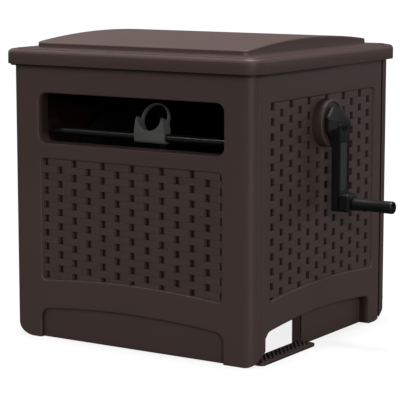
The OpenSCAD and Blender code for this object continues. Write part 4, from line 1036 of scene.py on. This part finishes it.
class REELBOX_OT_lid(bpy.types.Operator):
    """Builds the lid: lip, rounded shoulder, ledge, tier and the crown arched from front to back"""

    bl_idname = "reel_box.lid"
    bl_label = "Lid"

    def execute(self, context):
        s, w = settings().lid, settings().walls
        low, high = solid("lid")
        half, front, back = (high[0] - low[0]) / 2, low[1], high[1]
        middle = np.array([0.0, (front + back) / 2])
        run, arch = (back - front) / 2 - s.crown_inset, s.crown - s.crown_edge
        crown_radius = (run**2 + arch**2) / (2 * arch)

        def crown_height(y):
            return s.crown - crown_radius + np.sqrt(crown_radius**2 - (y - middle[1]) ** 2)

        def ring(inset):
            """The lid's outline drawn in: its corner first follows the inset, then the crown's corner."""
            radius = np.interp(inset, [0.0, s.step_inset, s.crown_inset], s.corner * CORNER_LEFT)
            return outline(half - inset, front + inset, back - inset, radius)

        # Section from the skirt under the lip to the tier's foot, as (inset, height) and painted shade: a
        # painted shadow on the skirt, and painted shade on the shoulder's round, the groove, the step and the
        # ledge
        shoulder, bead = s.ledge - s.step_rise, s.ledge - s.step_rise / 3
        groove = s.step_inset + GROOVE_INSET
        skirt, soft = s.lip_low - s.skirt, TUCK * 0.3
        edge_in, edge_drop = quarter_round(s.edge, 8)
        step_in, step_drop = quarter_round(STEP_ROUND, 8)
        parts = (
            ([(s.skirt_inset + TUCK, skirt), (s.skirt_inset, skirt), (s.skirt_inset, s.lip_low)], 1.0),
            ([(TUCK, s.lip_low), (soft, s.lip_low + soft), (0.0, s.lip_low + TUCK)], 0.0),
            (np.stack([edge_in, bead - edge_drop], 1), np.linspace(0.0, 0.4, 8)),
            (np.add(GROOVE, (groove, shoulder)), (0.6, 1.0, 0.9)),
            (np.stack([groove + GROOVE_SIDE + step_in, s.ledge - step_drop], 1), 0.25),
            ([(groove + LEDGE_FLAT, s.ledge), (s.crown_inset - TIER_HOLLOW, s.ledge)], 0.5),
        )
        section = np.concatenate([part for part, _ in parts])
        painted_shade = np.concatenate([np.broadcast_to(tone, len(part)) for part, tone in parts])
        rows = ring(section[:, 0])
        # The skirt, a painted shadow, ends before the hinges
        before = 1 - np.clip((rows[..., 1] - middle[1]) / s.crown_inset, 0, 1)
        over = section[:, 1:] - s.lip_low
        rings = [raised(rows, s.lip_low + np.maximum(over, 0.0) + np.minimum(over, 0.0) * before)]

        # Tier: a small hollow at its foot, an upright side and a rounded upper edge under the crown
        tier_in, tier_drop = quarter_round(TIER_ROUND, 6)
        share = np.append(TIER_SHARES, np.ones(len(tier_in)))[:, None]
        drop = np.append(np.full(len(TIER_LEAN), TIER_ROUND), tier_drop)[:, None]
        rows = ring(s.crown_inset + np.append(TIER_LEAN, TIER_LEAN[-1] + tier_in))
        rings.append(raised(rows, s.ledge + share * (crown_height(rows[..., 1]) - drop - s.ledge)))
        top = middle + np.linspace(1, 0, 25)[1:, None, None] * (rows[-1] - middle)
        rings.append(raised(top, crown_height(top[..., 1])))

        sheet = Sheet()
        rings = np.concatenate(rings)
        painted_shade = np.append(painted_shade, np.zeros(len(rings) - len(painted_shade)))
        sheet.grid(rings, True, UP, painted_shade[:, None])
        sheet.make("lid_shell", "lid", replaces=["lid"], thickness=w.skin)

        lugs = Sheet()
        root, tip = (w.depth / 2 + s.hinge_behind, s.hinge_height), (back - w.skin / 2, shoulder - s.edge)
        for side in (-1, 1):
            x0, x1 = side * s.hinge_half_span - s.lug / 2, side * s.hinge_half_span + s.lug / 2
            lugs.block([x0, *root], [x1, *tip])
            knuckle(lugs, x0, x1)
        lugs.make("lid_lugs", "lid", bevel=SOFT)
        return {"FINISHED"}


# Crank

# Radius and depth of the boss's bore
BOSS_BORE, BOSS_BORE_DEPTH = 0.0081, 0.02
# Roundings of the arm's front edges and corners, and of the channel's edge, upper and lower corners
ARM_EDGE, ARM_CORNER, CHANNEL_LIP, CHANNEL_TOP, CHANNEL_FOOT = 0.0012, 0.003, 0.0008, 0.001, 0.008
# Distances from the grip's axis up to the channel, and from the hub down to it
CHANNEL_RISE, CHANNEL_GAP = 0.023, 0.004
# The block's top over the grip's axis, the rounding of its end and the radius of its corners
BLOCK_TOP, BLOCK_EDGE, BLOCK_CORNER = 0.019, 0.004, 0.005
# Steps of the hub's rings along its axis, from its back (2), its base's end (2) and its tip (4), and how far
# the first seven are drawn in from the half width of the base (4) or of the tip (3)
HUB_STEPS = (0.0, 0.0006, -0.0005, 0.0004, -0.0005, -0.0001, 0.0, 0.0)
HUB_INSETS = (0.0006, 0.0, 0.0, 0.0005, -0.0005, 0.0, 0.0005)
# Points round the hub, and the power of the norm that draws its flats
HUB_POINTS, FLAT_POWER = 160, 70
# The channel's draft, and half the size of the slit in its middle from which its floor spreads
CHANNEL_DRAFT, SLIT_SHARE, SLIT_HALF, SLIT_ROUND = 0.08, 0.02, 0.03, 0.0001
# How far the arm's sides reach to its back, and the insets of the block's end as shares of the arm
ARM_BACK, BLOCK_END = 0.001, np.array([0.6, 0.97])
# Share of its inset by which the block's corner shrinks, and the least that is left of it
BLOCK_SHRINK, BLOCK_LEAST = 0.2, 0.0003
# Rounding of the grip's shoulders, radius of its bore, and depth and radii of the recess round the pin's head
GRIP_EDGE, GRIP_BORE, RECESS_DEPTH, RECESS_RADII = 0.003, 0.00505, 0.011, (0.0094, 0.0087, 0.0085)
# Painted shade on the boss's root at the wall and in its dish
BOSS_ROOT_SHADES, BOSS_DISH_SHADE = (0.65, 0.4), 0.3


class REELBOX_OT_crank(bpy.types.Operator):
    """Builds the crank's boss, its eight-sided hub, the channelled arm, the grip block and the grip"""

    bl_idname = "reel_box.crank"
    bl_label = "Crank"

    def execute(self, context):
        s = settings().crank
        centre, grip_z = np.array([0.0, 0.0, s.height]), s.height - s.reach

        boss = Sheet()
        low, high = solid("crank_boss")
        face, r = high[0], (high[1] - low[1]) / 2
        rim, dish, root = r - s.boss_rim, face - s.boss_dish, HALF_W - settings().openings.field_depth
        inset, drop = quarter_round(s.boss_round, 5)
        x = np.concatenate([[root], face - drop, face - inset, [dish, dish, dish - BOSS_BORE_DEPTH]])
        radii = np.concatenate([[r], r - inset, rim + drop, [rim - SOFT, BOSS_BORE, BOSS_BORE]])
        # Painted shade at the boss's root and in its dish
        painted_shade = np.zeros(len(x))
        painted_shade[:2], painted_shade[-3:] = BOSS_ROOT_SHADES, BOSS_DISH_SHADE
        boss.revolve(x, radii, centre, 96, painted_shade)
        boss.make("crank_boss_face", replaces=["crank_boss"])

        # Hub: eight flats, where the p-norm of a direction's share along each flat's normal gives the radius
        arm = Sheet()
        low, high = solid("crank_arm")
        back = low[0] + s.hub_base
        bearing = np.arange(HUB_POINTS) * 2 * pi / HUB_POINTS
        shares = np.clip(np.cos(bearing[:, None] - np.arange(8) * pi / 4), 0, 1)
        spread = (shares**FLAT_POWER).sum(1) ** (-1 / FLAT_POWER)
        x = np.repeat([low[0], back, low[0] + s.hub_length], [2, 2, 4]) + HUB_STEPS
        reach = np.append(np.repeat([s.hub_half, s.hub_tip], [4, 3]) - HUB_INSETS, 0.0)[:, None] * spread
        p = points(x[:, None], reach * np.cos(bearing), s.height + reach * np.sin(bearing))
        # The hub is darkened by the arm's painted shade
        arm.grid(p, True, lambda m: m - (centre + low[0] * X), s.outer_painted_shade)

        # Arm: rings from the channel's floor, up its side and over its flanges to the back
        front = back + s.arm_thick
        foot, head = grip_z + CHANNEL_RISE, s.height - s.hub_half - CHANNEL_GAP
        out, deep = lip_section(CHANNEL_LIP, s.channel_depth, CHANNEL_DRAFT, 5)
        hole = outline(s.channel_half + out, foot - out, head + out, CHANNEL_TOP + out, CHANNEL_FOOT + out)
        middle = (foot + head) / 2
        slit = outline(s.channel_half * SLIT_SHARE, middle - SLIT_HALF, middle + SLIT_HALF, SLIT_ROUND)
        inset, drop = quarter_round(ARM_EDGE, 5)
        inset = np.append(inset[::-1], [0.0, ARM_BACK])
        side_x = np.append(front - drop[::-1], [back + ARM_BACK, back])
        rim = outline(s.arm_half - inset, low[2] + inset, s.height - inset, ARM_CORNER)
        floor = front - s.channel_depth
        rows = np.concatenate([upright(slit, floor), upright(hole, front - deep), upright(rim, side_x)])
        # The channel's floor, the slit's ring and the next one, keeps the lighter grey of a painted sheen;
        # the rest of the arm is darkened by painted shade
        painted_shade = np.where(np.arange(len(rows)) < 2, 0.0, s.outer_painted_shade)
        arm.grid(rows, True, X, painted_shade[:, None])

        # Block that holds the grip: a soft box from the arm's back to the grip
        end = high[0]
        inset, drop = quarter_round(BLOCK_EDGE, 5)
        inset = np.concatenate([[0.0], inset, s.arm_half * BLOCK_END])
        x = np.concatenate([[front - BLOCK_EDGE], end - drop, [end, end]])
        round_off = np.maximum(BLOCK_CORNER - inset * BLOCK_SHRINK, BLOCK_LEAST)
        block = outline(s.arm_half - inset, low[2] + inset, grip_z + BLOCK_TOP - inset, round_off)
        # The block is darkened by the arm's painted shade
        arm.grid(upright(block, x), True, X, s.outer_painted_shade)
        arm.make("crank_arm_moulding", "crank", "arm_moulding", ["crank_arm"])

        # Grip: a waisted barrel with round shoulders and a recess round the pin's head
        grip = Sheet()
        low, high = solid("crank_grip")
        x0, x1, r = low[0], high[0], (high[1] - low[1]) / 2
        inset, drop = quarter_round(GRIP_EDGE, 6)
        t = np.linspace(0, 1, 21)[1:-1]
        barrel = x0 + GRIP_EDGE + t * (x1 - x0 - 2 * GRIP_EDGE)
        waist = r - s.grip_waist * np.sin(pi * t) ** 2
        recess = x1 - np.array([0.0, SOFT, RECESS_DEPTH, RECESS_DEPTH])
        x = np.concatenate([[x0], x0 + inset, barrel, x1 - drop, recess])
        radii = np.concatenate([[GRIP_BORE], r - drop, waist, r - inset, RECESS_RADII, [GRIP_BORE]])
        grip.revolve(x, radii, grip_z * UP, 56)
        grip.make("grip_sleeve", "grip", "black_moulding", ["crank_grip"])
        return {"FINISHED"}


# Hose guide

# Rounding of the eye's rims, play on the rod, rounding of the saddle's ends and its height over the bore
EYE_EDGE, PLAY, SADDLE_EDGE, SADDLE_TOP = 0.0016, 0.00005, 0.0012, 0.0004
# Sections along the saddle: end of the rod on which each lies, its place from there and its inset, both in
# roundings of the saddle's ends. The first and last two are the rod's bore.
SADDLE_ENDS = np.repeat([-1.0, 1.0], 5)
SADDLE_STEPS = np.array([8, 0, 0, 0.3, 1, -1, -0.3, 0, 0, -8])
SADDLE_INSETS = np.array([0, 0, 1, 0.3, 0, 0, 0.3, 1, 0, 0])
SADDLE_BORE = np.repeat([True, False, True], [2, 6, 2])[:, None, None]
# Share of the eye's half width from which the horns rise, sections along them, and share left at the tips
HORN_FOOT, HORN_STEPS, HORN_TIP = 0.72, 61, 0.05


class REELBOX_OT_guide(bpy.types.Operator):
    """Builds the hose guide: a leaning eye between the horns of a saddle that slides along the rod"""

    bl_idname = "reel_box.guide"
    bl_label = "Hose guide"

    def execute(self, context):
        s = settings().guide
        rod_low, rod_high = solid("guide_rod")
        centre = (rod_low + rod_high) / 2
        centre[0] = np.mean([corner[0] for corner in solid("hose_guide")])
        bore = (rod_high[2] - rod_low[2]) / 2 + PLAY
        up, axis = np.array([0.0, sin(s.lean), cos(s.lean)]), np.array([0.0, cos(s.lean), -sin(s.lean)])
        eye = centre + s.eye_rise * up
        deep, top, e = s.saddle_depth / 2, bore + SADDLE_TOP, SADDLE_EDGE
        sheet = Sheet()

        # Eye: a ring whose section is a soft oblong
        section = outline(s.eye_length / 2, s.eye, s.eye + s.eye_wall, EYE_EDGE)[0][::4]
        section = np.append(section, section[:1], 0)
        sheet.revolve(section[:, 0], section[:, 1], eye, 96, axis=axis, side=X)

        # Saddle's foot: a soft oblong carried along the rod, with the rod's bore through it
        x, inset = s.saddle_half * SADDLE_ENDS + e * SADDLE_STEPS, e * SADDLE_INSETS
        loops = outline(deep - inset, -deep + inset, top - inset, SOFT, s.saddle_round - inset)
        turn = np.arctan2(loops[..., 1], loops[..., 0])
        loops = np.where(SADDLE_BORE, bore * np.stack([np.cos(turn), np.sin(turn)], -1), loops)
        sheet.grid(centre + upright(loops, x), True, lambda m: off_axis(m, centre, X))

        # Horns: from the eye's lower half out to the saddle's sides, with a soft oblong section in
        # (share from eye to side, depth) that is drawn together at both tips
        a = np.linspace(pi, 2 * pi, HORN_STEPS)[:, None]
        wide, way = np.abs(np.cos(a)), np.sign(np.cos(a))
        side = np.clip((wide - HORN_FOOT) / (1 - HORN_FOOT), 0, 1)
        step = np.arange(HORN_STEPS)[:, None]
        close = np.clip(np.minimum(step, step[::-1]) / 2, 0, 1) ** 0.5
        section = outline(0.5, -deep, deep, SLIT_ROUND)[0] * (HORN_TIP + (1 - HORN_TIP) * close)[..., None]
        share, y = 0.5 + section[..., :1], section[..., 1]
        rim = s.eye * (np.cos(a) * X + np.sin(a) * up) + s.eye_rise * up
        inner = rim[:, None] + ((y - rim[:, 1:2]) / axis[1])[..., None] * axis
        foot = way * (np.minimum(s.saddle_half, s.saddle_half * wide / HORN_FOOT) - s.horn_draw * side)
        outer = points(foot, y, top + side * (s.eye_rise * cos(s.lean) - top))
        sheet.grid(centre + inner + share * (outer - inner), True, lambda m: off_axis(m, eye, axis))
        sheet.make("guide_eye", "guide", "grey_moulding", ["hose_guide"])
        return {"FINISHED"}


# Foot plate

# Chamfer of the plate's lower edge, and width, thickness and lower end of the tab behind the wall
FOOT_EDGE, TAB_WIDTH, TAB_THICK, TAB_LOW = 0.0004, 0.012, 0.006, 0.001
# Insets of the underside's ring and of the two rings on the plate's top
PLATE_UNDER, PLATE_TOP = 0.015, (0.010, 0.0185)
# Rows and columns of studs, points round each, and the radii and heights of a stud's rings
STUD_ROWS, STUD_COLUMNS, STUD_POINTS = 3, 13, 12
STUD_RADII = np.array([0.0030, 0.0029, 0.0024, 0.0012, 0.0])[:, None]
STUD_RISES = np.array([-0.0004, 0.0016, 0.0026, 0.0030, 0.0030])[:, None]


class REELBOX_OT_foot_plate(bpy.types.Operator):
    """Builds the foot plate with its soft edge, its rows of studs and its tab behind the wall"""

    bl_idname = "reel_box.foot_plate"
    bl_label = "Foot plate"

    def execute(self, context):
        s, w, o = settings().plate, settings().walls, settings().openings
        low, high = solid("foot_plate")
        mid = high[0] - s.half
        sheet = Sheet()
        inset, drop = quarter_round(s.edge, 6)
        inset = np.concatenate([[PLATE_UNDER, FOOT_EDGE, 0.0], inset, PLATE_TOP])
        z = np.concatenate([[0.0, 0.0, FOOT_EDGE], s.thick - drop, [s.thick, s.thick]])
        round_off = np.maximum(s.corner - inset, FOOT_EDGE)
        loops = outline(s.half - inset, low[1] + inset, high[1] - inset, round_off, mid=mid)
        sheet.grid(raised(loops, z[:, None]), True, UP)

        # Studs: low domes in rows
        i, j = np.meshgrid(np.arange(STUD_ROWS), np.arange(STUD_COLUMNS), indexing="ij")
        x = mid + (i.reshape(-1, 1, 1) - (STUD_ROWS - 1) / 2) * 2 * s.half / (STUD_ROWS + 1)
        y = low[1] + (j.reshape(-1, 1, 1) + 1) * (high[1] - low[1]) / (STUD_COLUMNS + 1)
        ring = np.arange(STUD_POINTS) * 2 * pi / STUD_POINTS
        studs = points(x + STUD_RADII * np.cos(ring), y + STUD_RADII * np.sin(ring), s.thick + STUD_RISES)
        sheet.grid(studs, True, UP)

        tab_x = HALF_W - o.side_arch_depth - w.skin
        tab_y = o.side_arch_shift - o.side_arch_half - w.skin
        sheet.block([tab_x, tab_y - TAB_THICK, TAB_LOW], [tab_x + TAB_WIDTH, tab_y, high[2]])
        # The plate takes the resin darkened as painted shade
        sheet.make("foot_plate_moulding", look="shaded_resin", replaces=["foot_plate"])
        return {"FINISHED"}


# Inner pieces

# Finishes of the pieces that keep their solids, by their slot, and of those that differ from it
SLOT_LOOKS = {
    "shell_plastic": "moulded_resin",
    "black_plastic": "black_moulding",
    "grey_plastic": "grey_moulding",
    "nylon": "waxy_nylon",
    "steel": "plated_steel",
    "seal_rubber": "seal_rubber",
}
# The rod's left socket takes the resin in painted shade
NODE_LOOKS = {"guide_rod": "polished_black", "left_rod_socket": "dark_resin"}


class REELBOX_OT_inner(bpy.types.Operator):
    """Gives the pieces that keep their solids, such as the reel, its drive and water way, their finish"""

    bl_idname = "reel_box.inner"
    bl_label = "Reel, drive and water way"

    def execute(self, context):
        for part in frame["record"]["subparts"]:
            node = frame["nodes"][part["node"]]
            material = finish(NODE_LOOKS.get(part["node"], SLOT_LOOKS[part["material_slot"]]))
            if len(node.data.materials) == 0:
                node.data.materials.append(material)
            for i in range(len(node.data.materials)):
                node.data.materials[i] = material
        return {"FINISHED"}


# Stage

# Half the floor's width, and its depth under the box
FLOOR_REACH, FLOOR_DROP = 60.0, 0.0005


class REELBOX_OT_stage(bpy.types.Operator):
    """Sets the floor, the backdrop, the soft studio lamps and the camera"""

    bl_idname = "reel_box.stage"
    bl_label = "Stage"

    def execute(self, context):
        s, scene = settings().stage, context.scene
        scene.view_settings.view_transform = "Standard"

        mesh = bpy.data.meshes.new("studio_floor")
        corners = FLOOR_REACH * np.array([(-1, -1), (1, -1), (1, 1), (-1, 1)])
        mesh.from_pydata(raised(corners, -FLOOR_DROP), [], [(0, 1, 2, 3)])
        mesh.materials.append(finish("studio_white"))
        linked("studio_floor", mesh)

        for lamp in LAMPS:
            data = bpy.data.lights.new(f"{lamp}_light", "SUN")
            data.energy, data.angle = getattr(s, lamp), getattr(s, f"{lamp}_width")
            tilt = pi / 2 - getattr(s, f"{lamp}_height")
            linked(f"{lamp}_light", data).rotation_euler = (tilt, 0.0, getattr(s, f"{lamp}_turn"))

        # The air is white to the camera, and dimmer as a light
        paint = Paint("studio_air", "worlds")
        dim, white = (paint.light("ShaderNodeBackground", strength) for strength in (s.air, 1.0))
        mixed = paint.node("ShaderNodeMixShader", None, {0: paint.camera_ray(), 1: dim, 2: white})
        scene.world = paint.close(mixed, "ShaderNodeOutputWorld")

        data = bpy.data.cameras.new("photo_camera")
        data.lens, data.sensor_width, data.clip_end = s.lens, 36.0, 100.0
        camera = linked("photo_camera", data)
        camera.location = box_origin() + np.array(s.camera)
        camera.rotation_euler = (pi / 2 - s.pitch, 0.0, s.turn)
        scene.camera = camera
        return {"FINISHED"}


class REELBOX_PT_build(bpy.types.Panel):
    bl_idname = "REELBOX_PT_build"
    bl_label = "Hose Reel Box"
    bl_space_type = "VIEW_3D"
    bl_region_type = "UI"
    bl_category = "Reel Box"

    def draw(self, context):
        for operator in OPERATORS:
            self.layout.operator(operator.bl_idname)
        for group in ReelBoxSettings.__annotations__:
            box = self.layout.box()
            values = getattr(context.scene.reel_box, group)
            for key in type(values).__annotations__:
                box.prop(values, key)


OPERATORS = (
    REELBOX_OT_stage,
    REELBOX_OT_walls,
    REELBOX_OT_weave,
    REELBOX_OT_lid,
    REELBOX_OT_crank,
    REELBOX_OT_guide,
    REELBOX_OT_foot_plate,
    REELBOX_OT_inner,
)
GROUPS = (
    WallSizes, OpeningSizes, WeaveSizes, LidSizes, CrankSizes, GuideSizes, PlateSizes, Finishes,
    StageSettings, ReelBoxSettings,
)


def register():
    for cls in (*GROUPS, *OPERATORS, REELBOX_PT_build):
        bpy.utils.register_class(cls)
    bpy.types.Scene.reel_box = PointerProperty(type=ReelBoxSettings)


def unregister():
    del bpy.types.Scene.reel_box
    for cls in reversed((*GROUPS, *OPERATORS, REELBOX_PT_build)):
        bpy.utils.unregister_class(cls)


def main():
    register()
    for name in ("stage", "walls", "weave", "lid", "crank", "guide", "foot_plate", "inner"):
        getattr(bpy.ops.reel_box, name)()


if __name__ == "__main__":
    main()
